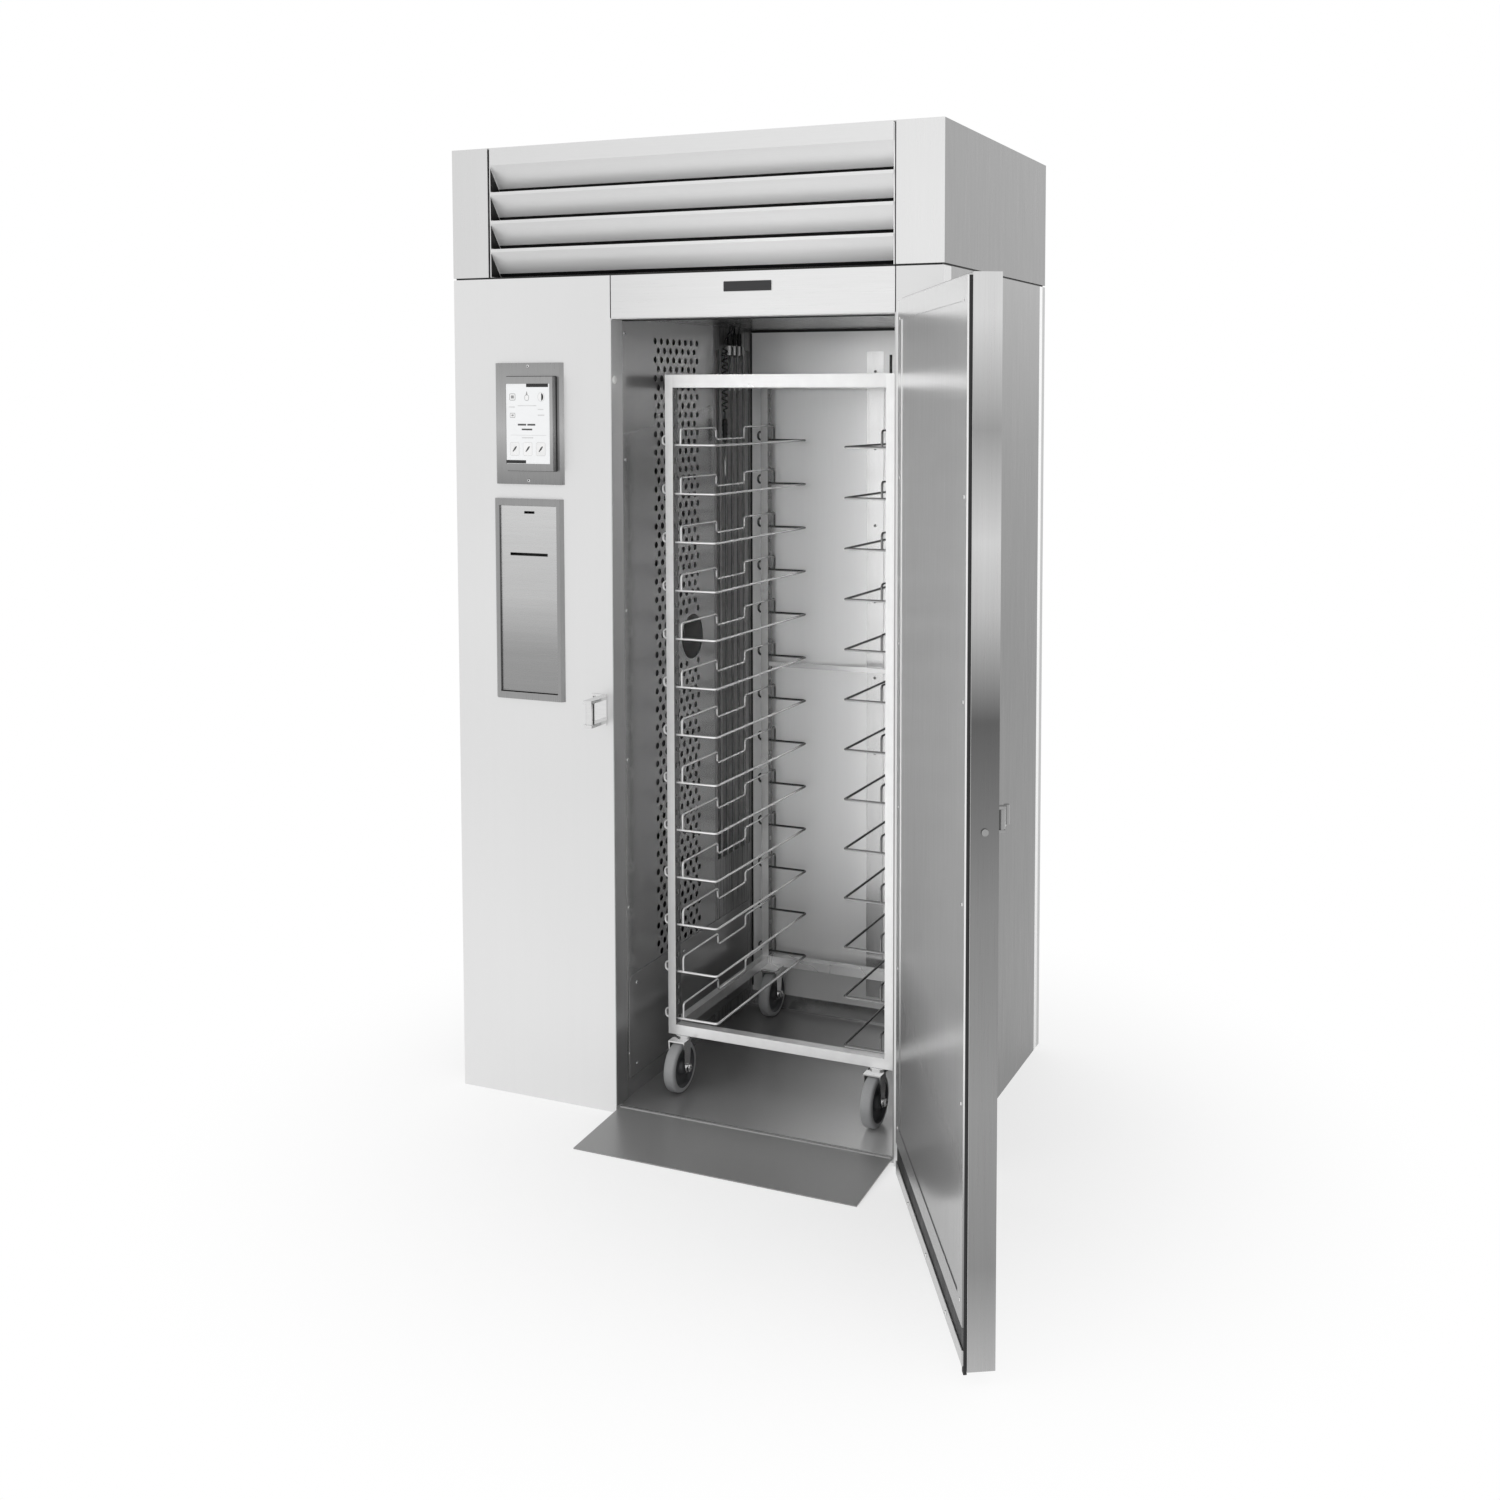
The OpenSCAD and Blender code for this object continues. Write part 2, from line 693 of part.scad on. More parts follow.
// Raised frame round the printer cover, with the bores for the cover's pins.
module printer_frame() color("lightgray") difference() {
    union() {
        raised_pan(printer_cx - printer_w / 2, printer_cx + printer_w / 2, printer_z,
            printer_z + printer_h);
        slab(printer_cx - printer_w / 2 + 5, printer_cx + printer_w / 2 - 5, front_y - 1,
            front_y + printer_recess + 4, printer_z + 5, printer_z + printer_h - 5);
    }
    slab(cover_l - cover_gap, cover_r + cover_gap, front_y - frame_out - 1,
        front_y + pocket_t, cover_low - cover_gap, cover_top + cover_gap);
    rod_x([cover_l - pin_len - 1, cover_axis[0], cover_axis[1]], cover_pin + 2 * run_clear,
        cover_r - cover_l + 2 * pin_len + 2);
}

// Sheet flap with a paper slot and a finger slot, turning on pins at its rolled lower edge.
module printer_cover() color("darkgray") {
    slot = 3.5;
    difference() {
        slab(cover_l, cover_r, cover_y, cover_y + cover_sheet, cover_axis[1], cover_top);
        slab(printer_cx - paper_w / 2, printer_cx + paper_w / 2, cover_y - 1,
            cover_y + cover_sheet + 1, paper_z - slot, paper_z + slot);
        slab(printer_cx - 12, printer_cx + 16, cover_y - 1, cover_y + cover_sheet + 1,
            cover_top - 18, cover_top - 12);
    }
    rod_x([cover_l, cover_axis[0], cover_axis[1]], cover_roll, cover_r - cover_l);
    rod_x([cover_l - pin_len, cover_axis[0], cover_axis[1]], cover_pin,
        cover_r - cover_l + 2 * pin_len);
}

module printer_mechanism() color("dimgray") difference() {
    slab(printer_cx - 64, printer_cx + 64, cover_y + 8, front_y + pocket_t, paper_z - 55,
        paper_z + 35);
    slab(printer_cx - paper_w / 2, printer_cx + paper_w / 2, cover_y + 7, cover_y + 20,
        paper_z - 2, paper_z + 2);
}

// ---- Latch and hinges ----

strike_r = door_l - 6;
strike_h = 72;
jaw_in = 24;
jaw_t = 7;
bolt_y = (shell_out_y + shell_in_y) / 2;
roller_x = strike_r - roller_d / 2 - 1;

// Keeper beside the door's free edge: a plate with two long jaws and a roller between their
// front ends. The bolt goes behind the roller.
module strike() color("gainsboro") {
    slab(strike_r - 40, strike_r, front_y - 3, front_y, latch_z - strike_h / 2,
        latch_z + strike_h / 2);
    for (z0 = [latch_z - jaw_in - jaw_t, latch_z + jaw_in])
        slab(roller_x - roller_d / 2 - 2, strike_r, front_y - roller_y - roller_d / 2 - 3,
            front_y - 3 + eps, z0, z0 + jaw_t);
    rod_z([roller_x, front_y - roller_y, latch_z - jaw_in - eps], roller_d,
        2 * (jaw_in + eps));
}

// Bracket on the jamb with its pin standing in a knuckle.
module hinge_bracket(z0) {
    slab(hinge_x - 30, hinge_x + 34, front_y - 4, front_y, z0 - knuckle_h - 10,
        z0 + knuckle_h + 10);
    slab(hinge_x - 6, hinge_x + 6, hinge_y, front_y - 4 + eps, z0 - knuckle_h, z0 - slip);
    rod_z([hinge_x, hinge_y, z0 - knuckle_h], knuckle_d, knuckle_h - slip);
    rod_z([hinge_x, hinge_y, z0 - slip - eps], pin_d, knuckle_h - 2 + slip);
}

module hinge_brackets() color("gainsboro") for (z0 = hinge_levels) hinge_bracket(z0);

// Pieces of the door are drawn closed and turned open about the pins.
module door_pose() {
    translate([hinge_x, hinge_y, 0]) rotate([0, 0, open_angle])
        translate([-hinge_x, -hinge_y, 0]) children();
}

handle_x = door_l + 22;
handle_y = shell_out_y - 9;
handle_z = latch_z + 16;
handle_h = 34;
handle_reach = 34;
grip_bar_d = 10;
barrel_d = 12;
handle_pin_d = 5;
ear_t = 5;

// Three hinge straps, and the two ears with the pin that the handle turns on.
module door_hardware() color("gainsboro") door_pose() {
    for (z0 = hinge_levels) difference() {
        union() {
            rod_z([hinge_x, hinge_y, z0], knuckle_d, knuckle_h);
            slab(door_r + 3 - eps, hinge_x, hinge_y - 4, hinge_y + 4, z0, z0 + knuckle_h);
            slab(door_r, door_r + 3, shell_out_y + 3, shell_in_y - 3, z0, z0 + knuckle_h);
        }
        rod_z([hinge_x, hinge_y, z0 - 1], pin_d + 2 * run_clear, knuckle_h - 1);
    }
    slab(handle_x - barrel_d, handle_x + barrel_d, shell_out_y - 2, shell_out_y,
        handle_z - handle_h / 2 - ear_t - 5, handle_z + handle_h / 2 + ear_t + 5);
    for (z0 = [handle_z - handle_h / 2 - ear_t - slip, handle_z + handle_h / 2 + slip])
        slab(handle_x - barrel_d / 2, handle_x + barrel_d / 2, handle_y - barrel_d / 2,
            shell_out_y - 2 + eps, z0, z0 + ear_t);
    rod_z([handle_x, handle_y, handle_z - handle_h / 2 - slip - eps], handle_pin_d,
        handle_h + 2 * (slip + eps));
}

module door_shell() color("silver") door_pose() difference() {
    slab(door_l, door_r, shell_out_y, shell_in_y, door_bottom, door_top);
    slab(door_l + door_sheet, door_r - door_sheet, shell_out_y + door_sheet, shell_in_y + 1,
        door_bottom + door_sheet, door_top - door_sheet);
    rod_x([door_l - 1, bolt_y, latch_z], bolt_d + 2 * slip, 10);
}

edge = 5;
tail = 7;
gasket_w = rim_w - 8;
bolt_head = 20;
bolt_len = 70;

// Foam core, raised inside the gasket up to the liner, with a cavity for the latch bolt.
module door_core() color("khaki") door_pose() difference() {
    union() {
        slab(door_l + door_sheet, door_r - door_sheet, shell_out_y + door_sheet, shell_in_y,
            door_bottom + door_sheet, door_top - door_sheet);
        slab(door_l + edge + gasket_w, door_r - edge - gasket_w, shell_in_y - 1, gasket_y,
            liner_low, door_top - edge - gasket_w);
    }
    slab(door_l, door_l + bolt_len + bolt_throw, bolt_y - bolt_head / 2 - slip,
        bolt_y + bolt_head / 2 + slip, latch_z - bolt_head / 2 - slip,
        latch_z + bolt_head / 2 + slip);
}

// Black gasket round the door, wider at the foot, with a tail at the free edge that reaches
// towards the sill.
module door_gasket() color("black") door_pose() {
    ring_xz(door_l + edge, door_r - edge, door_bottom + edge, door_top - edge, shell_in_y,
        gasket_y, gasket_w);
    slab(door_l + edge + gasket_w - eps, door_r - edge - gasket_w + eps, shell_in_y, gasket_y,
        door_bottom + edge + gasket_w - eps, liner_low);
    slab(door_l + edge, door_l + edge + 12, shell_in_y, gasket_y, door_bottom - tail,
        door_bottom + edge + eps);
}

liner_l = door_l + edge;
liner_r = door_r - edge;
liner_low = door_bottom + 76;
liner_top = door_top - edge;

module door_liner() color("gray") door_pose() {
    ring_xz(liner_l, liner_r, liner_low, liner_top, gasket_y, liner_y, rim_w);
    slab(liner_l + rim_w - 2, liner_r - rim_w + 2, gasket_y, gasket_y + 1.5,
        liner_low + rim_w - 2, liner_top - rim_w + 2);
}

module door_retainer() color("lightgray") door_pose()
    slab(liner_l, liner_r, gasket_y, liner_y, door_bottom + 8, door_bottom + 8 + retainer_h);

// Pull handle near the free edge, drawn pulled. It turns on its upright pin.
module door_handle() color("gainsboro") door_pose()
    translate([handle_x, handle_y, handle_z]) rotate([0, 0, -handle_angle]) difference() {
        union() {
            rod_z([0, 0, -handle_h / 2], barrel_d, handle_h);
            slab(0, handle_reach, -3, 3, -handle_h / 2, handle_h / 2);
            rod_z([handle_reach, -1.5, -handle_h / 2], grip_bar_d, handle_h);
        }
        rod_z([0, 0, -handle_h / 2 - 1], handle_pin_d + 2 * run_clear, handle_h + 2);
    }

// Round bolt with a square guide block inside the door, drawn back by the handle.
module latch_bolt() color("gainsboro") door_pose() {
    rod_x([door_l - bolt_rest, bolt_y, latch_z], bolt_d, bolt_len);
    slab(door_l + 32, door_l + 42, bolt_y - bolt_head / 2, bolt_y + bolt_head / 2,
        latch_z - bolt_head / 2, latch_z + bolt_head / 2);
}

// ---- Ramp ----

ramp_l = open_l + ramp_side;
ramp_r = open_r - ramp_side;
knuckle_len = (ramp_r - ramp_l) / ramp_knuckle_n;
ramp_angle = asin((ramp_axis_z - ramp_t / 2 - slip) / ramp_len);

module ramp_hinge_leaf() color("darkgray") {
    for (i = [0 : 2 : ramp_knuckle_n - 1]) {
        x0 = ramp_l + i * knuckle_len + slip;
        x1 = ramp_l + (i + 1) * knuckle_len - slip;
        rod_x([x0, ramp_axis_y, ramp_axis_z], ramp_knuckle_d, x1 - x0);
        slab(x0, x1, ramp_axis_y, sill_y, ramp_axis_z - 1, ramp_axis_z + 1);
    }
    rod_x([ramp_l + slip, ramp_axis_y, ramp_axis_z], ramp_pin_d, ramp_r - ramp_l - 2 * slip);
}

module ramp() color("darkgray") translate([0, ramp_axis_y, ramp_axis_z])
    rotate([ramp_angle, 0, 0]) difference() {
        union() {
            slab(ramp_l, ramp_r, -ramp_len, -ramp_knuckle_d / 2 - 1, -ramp_t / 2, ramp_t / 2);
            for (i = [1 : 2 : ramp_knuckle_n - 2]) {
                x0 = ramp_l + i * knuckle_len + slip;
                x1 = ramp_l + (i + 1) * knuckle_len - slip;
                rod_x([x0, 0, 0], ramp_knuckle_d, x1 - x0);
                slab(x0, x1, -ramp_knuckle_d / 2 - 1 - eps, 0, -ramp_t / 2, ramp_t / 2);
            }
        }
        rod_x([ramp_l - 1, 0, 0], ramp_pin_d + 2 * run_clear, ramp_r - ramp_l + 2);
    }

// ---- Evaporator, behind the left wall ----

fan_levels = [520, 1380];
fan_d = 280;
fan_y = return_y - 192;
bulkhead_x = open_l - 90;
motor_d = 76;
shaft_d = 8;
pan_h = 60;
pan_back = return_y - 2;
coil_t = 110;

module evaporator_coil() color("peru") {
    x0 = chamber_l + 50;
    y0 = inner_front + 30;
    y1 = return_y - 32;
    tube_step = 130;
    slab(x0, x0 + coil_t, y0, y1, floor_z + pan_h + 20, open_top);
    for (z0 = [floor_z + pan_h + 120 : tube_step : open_top - 180]) translate([x0 + coil_t / 2, y1, z0])
        rotate([90, 0, 90]) rotate_extrude(angle = 180)
            translate([22, 0]) circle(d = 10, $fn = 24);
}

// Sheet with round orifices that carries the fan motors on cross bars.
module fan_bulkhead() color("silver") {
    difference() {
        slab(bulkhead_x, bulkhead_x + 3, inner_front, return_y, floor_z + 40, open_top);
        for (z0 = fan_levels) rod_x([bulkhead_x - 1, fan_y, z0], fan_d + 16, 5);
    }
    for (z0 = fan_levels) difference() {
        union() {
            rod_x([bulkhead_x - 60, fan_y, z0], motor_d, 50);
            slab(bulkhead_x - 22, bulkhead_x - 14, fan_y - fan_d / 2 - 20, fan_y + fan_d / 2 + 20,
                z0 - 10, z0 + 10);
            for (side = [-1, 1])
                slab(bulkhead_x - 15, bulkhead_x + eps, fan_y + side * (fan_d / 2 + 14) - 4,
                    fan_y + side * (fan_d / 2 + 14) + 4, z0 - 10, z0 + 10);
        }
        rod_x([bulkhead_x - 40, fan_y, z0], shaft_d + 2 * run_clear, 40);
    }
}

// Axial fan with flat pitched blades and its shaft, axis along +X.
module axial_fan(d, hub, depth, shaft, shaft_len) {
    rod_x([-depth / 2, 0, 0], hub, depth);
    rod_x([-depth / 2 - shaft_len, 0, 0], shaft, shaft_len + 1);
    for (i = [0 : 4]) rotate([i * 72, 0, 0]) translate([0, 0, hub / 2 - 4])
        rotate([0, 0, 58]) translate([-1.5, -d / 8, 0]) cube([3, d / 4, d / 2 - hub / 2]);
}

module evaporator_fan(z0) color("dimgray") translate([bulkhead_x + 36, fan_y, z0])
    axial_fan(fan_d - 50, 70, 30, shaft_d, 56);

module evaporator_fan_low() evaporator_fan(fan_levels[0]);

module evaporator_fan_high() evaporator_fan(fan_levels[1]);

module drain_pan() color("silver") difference() {
    slab(chamber_l + 20, bulkhead_x - 70, inner_front + 10, pan_back, floor_z,
        floor_z + pan_h);
    slab(chamber_l + 22, bulkhead_x - 72, inner_front + 12, pan_back - 2, floor_z + 2,
        floor_z + pan_h + 1);
}

// ---- Machine compartment ----

deck = machine_z;
coil_y = front_y + 90;
condenser_x = 60;
condenser_fan_d = 210;
condenser_z = deck + 140;

module condenser_coil() color("peru") {
    slab(condenser_x - 230, condenser_x + 230, coil_y, coil_y + 66, deck, deck + 262);
    for (i = [0 : 5]) translate([condenser_x + 230, coil_y + 33, deck + 30 + i * 40])
        rotate([0, 0, 90]) rotate([90, 0, 180]) rotate([0, 0, -90]) rotate_extrude(angle = 180)
            translate([12, 0]) circle(d = 9, $fn = 24);
}

module condenser_shroud() color("dimgray") {
    y0 = coil_y + 66;
    difference() {
        slab(condenser_x - 230, condenser_x + 230, y0, y0 + 44, deck, deck + 262);
        slab(condenser_x - 228, condenser_x + 228, y0 - 1, y0 + 42, deck + 2, deck + 260);
        rod_y([condenser_x, y0 + 30, condenser_z], condenser_fan_d + 14, 30);
    }
    difference() {
        union() {
            rod_y([condenser_x, y0 + 62, condenser_z], motor_d, 60);
            slab(condenser_x - 130, condenser_x + 130, y0 + 56, y0 + 63, condenser_z - 9,
                condenser_z + 9);
            for (side = [-1, 1])
                slab(condenser_x + side * 124 - 6, condenser_x + side * 124 + 6, y0 + 44 - eps,
                    y0 + 57, condenser_z - 9, condenser_z + 9);
        }
        rod_y([condenser_x, y0 + 50, condenser_z], shaft_d + 2 * run_clear, 40);
    }
}

module condenser_fan() color("black")
    translate([condenser_x, coil_y + 66 + 30, condenser_z]) rotate([0, 0, -90])
        axial_fan(condenser_fan_d, 60, 24, shaft_d, 34);

comp_x = left_x + 228;
comp_y = back_y - 273;
comp_d = 176;
comp_h = 156;

module compressor() color("dimgray") translate([comp_x, comp_y, deck]) {
    dome = 40;
    r = comp_d / 2;
    slab(-110, 110, -r - 2, r + 2, 0, 6);
    rotate_extrude() polygon(concat([[0, 6 - eps], [r, 6 - eps]],
        [for (a = [0 : 10 : 90]) [r - dome + dome * cos(a), comp_h + dome * sin(a)]],
        [[0, comp_h + dome]]));
}

box_w = 177;
box_l = 300;
box_h = 190;
box_y = front_y + 120;

module electrical_box() color("silver") slab(right_x - skin_t - box_w, right_x - skin_t, box_y,
    box_y + box_l, deck, deck + box_h);

// Discharge pipe from the compressor to the condenser, and suction pipe down to the deck.
module refrigerant_pipes() color("peru") {
    pipe = 12;
    bend = 20;
    wire([[comp_x, comp_y - comp_d / 2, deck + 100], [comp_x, coil_y + 33, deck + 100],
        [condenser_x - 230, coil_y + 33, deck + 100]], pipe, bend);
    wire([[comp_x, comp_y + comp_d / 2, deck + 60], [comp_x, comp_y + comp_d / 2 + 80, deck + 60],
        [comp_x, comp_y + comp_d / 2 + 80, deck]], pipe, bend);
}

// ---- Rack ----

module upright() {
    height = rack_top - rack_foot;
    step = level_pitch / slots_per_level;
    slot_n = floor((rack_top - top_bar_h - level_z) / step) + 1;
    translate([0, 0, rack_foot]) difference() {
        cube([upright_w, upright_d, height]);
        translate([upright_wall, upright_wall, -1])
            cube([upright_w - 2 * upright_wall, upright_d - 2 * upright_wall, height + 2]);
        for (i = [0 : slot_n - 1])
            translate([-1, upright_d / 2 - slot_w / 2,
                level_z - rack_foot + i * step - wire_d / 2 - slip])
                cube([upright_w + 2, slot_w, slot_h]);
    }
}

module rack_uprights() color("gainsboro")
    for (x0 = [rack_l, rack_r - upright_w], y0 = [rack_f, rack_b - upright_d])
        translate([x0, y0, 0]) upright();

module bar_frame(z0, h) {
    for (y0 = [rack_f, rack_b - upright_d])
        slab(rack_l + upright_w, rack_r - upright_w, y0, y0 + upright_d, z0, z0 + h);
    for (x0 = [rack_l, rack_r - upright_w])
        slab(x0, x0 + upright_w, rack_f + upright_d, rack_b - upright_d, z0, z0 + h);
}

// Top frame, the brace between the rear uprights, and the short rod on the front right one.
module rack_bars() color("gainsboro") {
    bar_frame(rack_top - top_bar_h, top_bar_h);
    slab(rack_l + upright_w, rack_r - upright_w, rack_b - upright_d + 6,
        rack_b - upright_d + 6 + brace_t, brace_z, brace_z + brace_t);
    rod_z([rack_r - upright_w / 2, rack_f + 3, rack_top], 6, rod_len);
}

// Bottom bars with corner gussets that take the casters, bored for the swivel stems.
module rack_base_frame() color("gainsboro") difference() {
    gusset_w = caster_inset + 26;
    union() {
        bar_frame(rack_foot, foot_bar_h);
        for (side = [0, 1], rear = [0, 1]) {
            x0 = side == 0 ? rack_l + upright_w - eps : rack_r - gusset_w;
            y0 = rear == 0 ? rack_f + upright_d - eps : rack_b - rear_inset - 30;
            y1 = rear == 0 ? rack_f + upright_d + 36 : rack_b - upright_d + eps;
            slab(x0, x0 + gusset_w - upright_w + eps, y0, y1, rack_foot,
                rack_foot + gusset_t);
            weld_x = side == 0 ? x0 : rack_r - upright_w - corner_weld + eps;
            weld_y = rear == 0 ? y0 : y1 - corner_weld;
            slab(weld_x, weld_x + corner_weld, weld_y, weld_y + corner_weld, rack_foot,
                rack_foot + foot_bar_h);
        }
    }
    for (x = [rack_l + caster_inset, rack_r - caster_inset])
        rod_z([x, front_axis_y, rack_foot - 1], stem_d + 2 * run_clear,
            gusset_t + stem_in + 2);
}

// One slide: a U of wire hooked through both uprights, with a side guide welded on its legs
// whose middle drops. X points from the upright's inner face into the rack.
module wire_slide() {
    out = -upright_w;
    wire([[out - 2, 0, hook_h], [out - hook_x, 0, hook_h], [out - hook_x, 0, 0],
        [ledge_w, 0, 0], [ledge_w, post_span, 0], [out - hook_x, post_span, 0],
        [out - hook_x, post_span, hook_h], [out - 2, post_span, hook_h]], wire_d, bend_r);
    wire([[guide_x, 0, 0], [guide_x, 0, guide_h], [guide_x, 0.35 * post_span, guide_h],
        [guide_x, 0.35 * post_span, drop_h], [guide_x, 0.65 * post_span, drop_h],
        [guide_x, 0.65 * post_span, guide_h], [guide_x, post_span, guide_h],
        [guide_x, post_span, 0]], guide_d, bend_r);
}

module left_slides() color("gainsboro") for (i = [0 : level_n - 1])
    translate([rack_l + upright_w, rack_f + upright_d / 2, level_z + i * level_pitch])
        wire_slide();

module right_slides() color("gainsboro") for (i = [0 : level_n - 1])
    translate([rack_r - upright_w, rack_f + upright_d / 2, level_z + i * level_pitch])
        mirror([1, 0, 0]) wire_slide();

// ---- Casters ----

fork_in = wheel_w / 2 + 2;

// Fork legs with the axle bolt, about an axle along X at the origin.
module fork_legs(top) {
    for (side = [-1, 1]) translate([side < 0 ? -fork_in - fork_t : fork_in, 0, 0])
        along_x([0, 0, 0], fork_t) {
            circle(d = 24);
            polygon([[0, -12], [0, 12], [-top, 18], [-top, -18]]);
        }
    rod_x([-fork_in - fork_t - 5, 0, 0], axle_d, 2 * (fork_in + fork_t + 5));
    for (side = [-1, 1])
        rod_x([side < 0 ? -fork_in - fork_t - 6 : fork_in + fork_t - eps, 0, 0], 18, 6);
}

module swivel_fork(x) color("gainsboro") translate([x, front_axis_y, 0]) {
    head = rack_foot - slip;
    translate([0, -trail, wheel_z]) fork_legs(fork_z - wheel_z + fork_t);
    slab(-fork_in - fork_t, fork_in + fork_t, -trail - 18, 22, fork_z, fork_z + fork_t);
    rod_z([0, 0, fork_z], 44, head - fork_z);
    rod_z([0, 0, head - eps], stem_d, gusset_t + stem_in);
}

module swivel_fork_left() swivel_fork(rack_l + caster_inset);

module swivel_fork_right() swivel_fork(rack_r - caster_inset);

module rigid_forks() color("gainsboro")
    for (x = [rack_l + caster_inset, rack_r - caster_inset]) translate([x, rear_axle_y, 0]) {
        translate([0, 0, wheel_z]) fork_legs(fork_z - wheel_z + fork_t);
        slab(-fork_in - fork_t, fork_in + fork_t, -26, rear_inset - 2, fork_z, rack_foot);
    }

// Wheel with a grooved web and a hub, about an axle along X.
module wheel() {
    r = wheel_d / 2;
    h = wheel_w / 2;
    bore = axle_d / 2 + run_clear;
    rotate([0, 90, 0]) rotate_extrude($fn = 96)
        polygon([[bore, -h], [17, -h], [20, -h + 9], [r - 16, -h + 9], [r - 12, -h + 2],
            [r - 3, -h + 2], [r, -h + 5], [r, h - 5], [r - 3, h - 2], [r - 12, h - 2],
            [r - 16, h - 9], [20, h - 9], [17, h], [bore, h]]);
}

module wheel_front_left() color("dimgray")
    translate([rack_l + caster_inset, front_axis_y - trail, wheel_z]) wheel();

module wheel_front_right() color("dimgray")
    translate([rack_r - caster_inset, front_axis_y - trail, wheel_z]) wheel();

module wheel_rear_left() color("dimgray")
    translate([rack_l + caster_inset, rear_axle_y, wheel_z]) wheel();

module wheel_rear_right() color("dimgray")
    translate([rack_r - caster_inset, rear_axle_y, wheel_z]) wheel();

floor_pan();
back_wall();
left_side_wall();
right_side_wall();
service_panel();
right_jamb();
header_panel();
ceiling_panel();
seam_deck();
machine_shell();
top_cover();
louvre_grille();
evaporator_cover();
return_grille();
throat_trim();
kick_plates();
back_trims();
probe_holder();
food_probes();
probe_lead();
display_bezel();
touchscreen();
printer_frame();
printer_cover();
printer_mechanism();
strike();
hinge_brackets();
ramp_hinge_leaf();
ramp();
door_shell();
door_core();
door_gasket();
door_liner();
door_retainer();
door_hardware();
door_handle();
latch_bolt();
evaporator_coil();
fan_bulkhead();
evaporator_fan_low();
evaporator_fan_high();
drain_pan();
condenser_coil();
condenser_shroud();
condenser_fan();
compressor();
electrical_box();
refrigerant_pipes();
rack_uprights();
rack_bars();
rack_base_frame();
left_slides();
right_slides();
rigid_forks();
swivel_fork_left();
swivel_fork_right();
wheel_front_left();
wheel_front_right();
wheel_rear_left();
wheel_rear_right();
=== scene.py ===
"""Looks of a roll-in blast chiller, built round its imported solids. Shapes are written in
millimetres, and materials, camera and lamps in metres."""

import math

import bmesh
import bpy
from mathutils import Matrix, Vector


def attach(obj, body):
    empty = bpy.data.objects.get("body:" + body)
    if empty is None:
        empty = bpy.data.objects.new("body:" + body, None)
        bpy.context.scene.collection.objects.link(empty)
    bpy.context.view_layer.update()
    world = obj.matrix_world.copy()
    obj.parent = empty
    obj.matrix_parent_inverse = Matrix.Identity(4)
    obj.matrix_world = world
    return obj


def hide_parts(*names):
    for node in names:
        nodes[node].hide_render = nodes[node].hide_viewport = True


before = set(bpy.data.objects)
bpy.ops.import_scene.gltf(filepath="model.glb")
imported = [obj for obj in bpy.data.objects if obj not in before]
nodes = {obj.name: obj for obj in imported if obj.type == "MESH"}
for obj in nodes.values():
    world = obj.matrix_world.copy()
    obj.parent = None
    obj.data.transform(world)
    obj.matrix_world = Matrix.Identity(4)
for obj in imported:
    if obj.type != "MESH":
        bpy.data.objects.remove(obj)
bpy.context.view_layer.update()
scene = bpy.context.scene
X, Y, Z = Vector((1, 0, 0)), Vector((0, 1, 0)), Vector((0, 0, 1))

# Main places, in millimetres as in the part's source.
FRONT, INNER_BACK = -393.0, 345.0
OPEN_L, OPEN_R, OPEN_TOP = -186.0, 502.0, 1842.0
DOOR_L, DOOR_R, DOOR_LOW, DOOR_TOP = -196.0, 514.0, 25.0, 1866.0
DOOR_INNER = FRONT - 11
HINGE = (552.0, -431.0)
HINGE_Z = (275, 945.5, 1616)
OPEN_ANGLE = math.radians(119.5)
MACHINE = 1942.0
GRILLE_L, GRILLE_R = -504.0, 496.0
BLADES, BLADE_PITCH, BLADE_DEPTH, BLADE_RISE = 4, 65.5, 44, 54.5
WHEEL_L, WHEEL_R, WHEEL_FRONT, WHEEL_REAR, AXLE_Z = -90, 406, -258.5, 267, 76.3


def mm(*p):
    """A point in millimetres, as the metres that the scene uses."""
    return Vector([v / 1000 for v in p])


def swung(p):
    """A point of the closed door, in millimetres, turned to where the door stands open."""
    dx, dy = p[0] - HINGE[0], p[1] - HINGE[1]
    c, s = math.cos(OPEN_ANGLE), math.sin(OPEN_ANGLE)
    return HINGE[0] + c * dx - s * dy, HINGE[1] + s * dx + c * dy, p[2]


# ---- Camera, as fitted to the cabinet's corners in the photograph ----

cam_data = bpy.data.cameras.new("camera")
cam_data.sensor_width = 36
cam_data.lens = 39.63
cam_data.shift_x = -0.0474
cam_data.shift_y = -0.1648
cam = bpy.data.objects.new("camera", cam_data)
scene.collection.objects.link(cam)
cam.location = (1.716, -3.659, 1.662)
cam.rotation_euler = (math.radians(90 - 3.633), 0, math.radians(22.967))
scene.camera = cam


# ---- Materials ----

def lin(hex_tone):
    """A written sRGB tone such as 0xDE, as the linear value that the shader takes."""
    c = hex_tone / 255
    return c / 12.92 if c <= 0.04045 else ((c + 0.055) / 1.055) ** 2.4


def rgb(*tones):
    r, g, b = tones if len(tones) == 3 else tones * 3
    return (lin(r), lin(g), lin(b), 1.0)


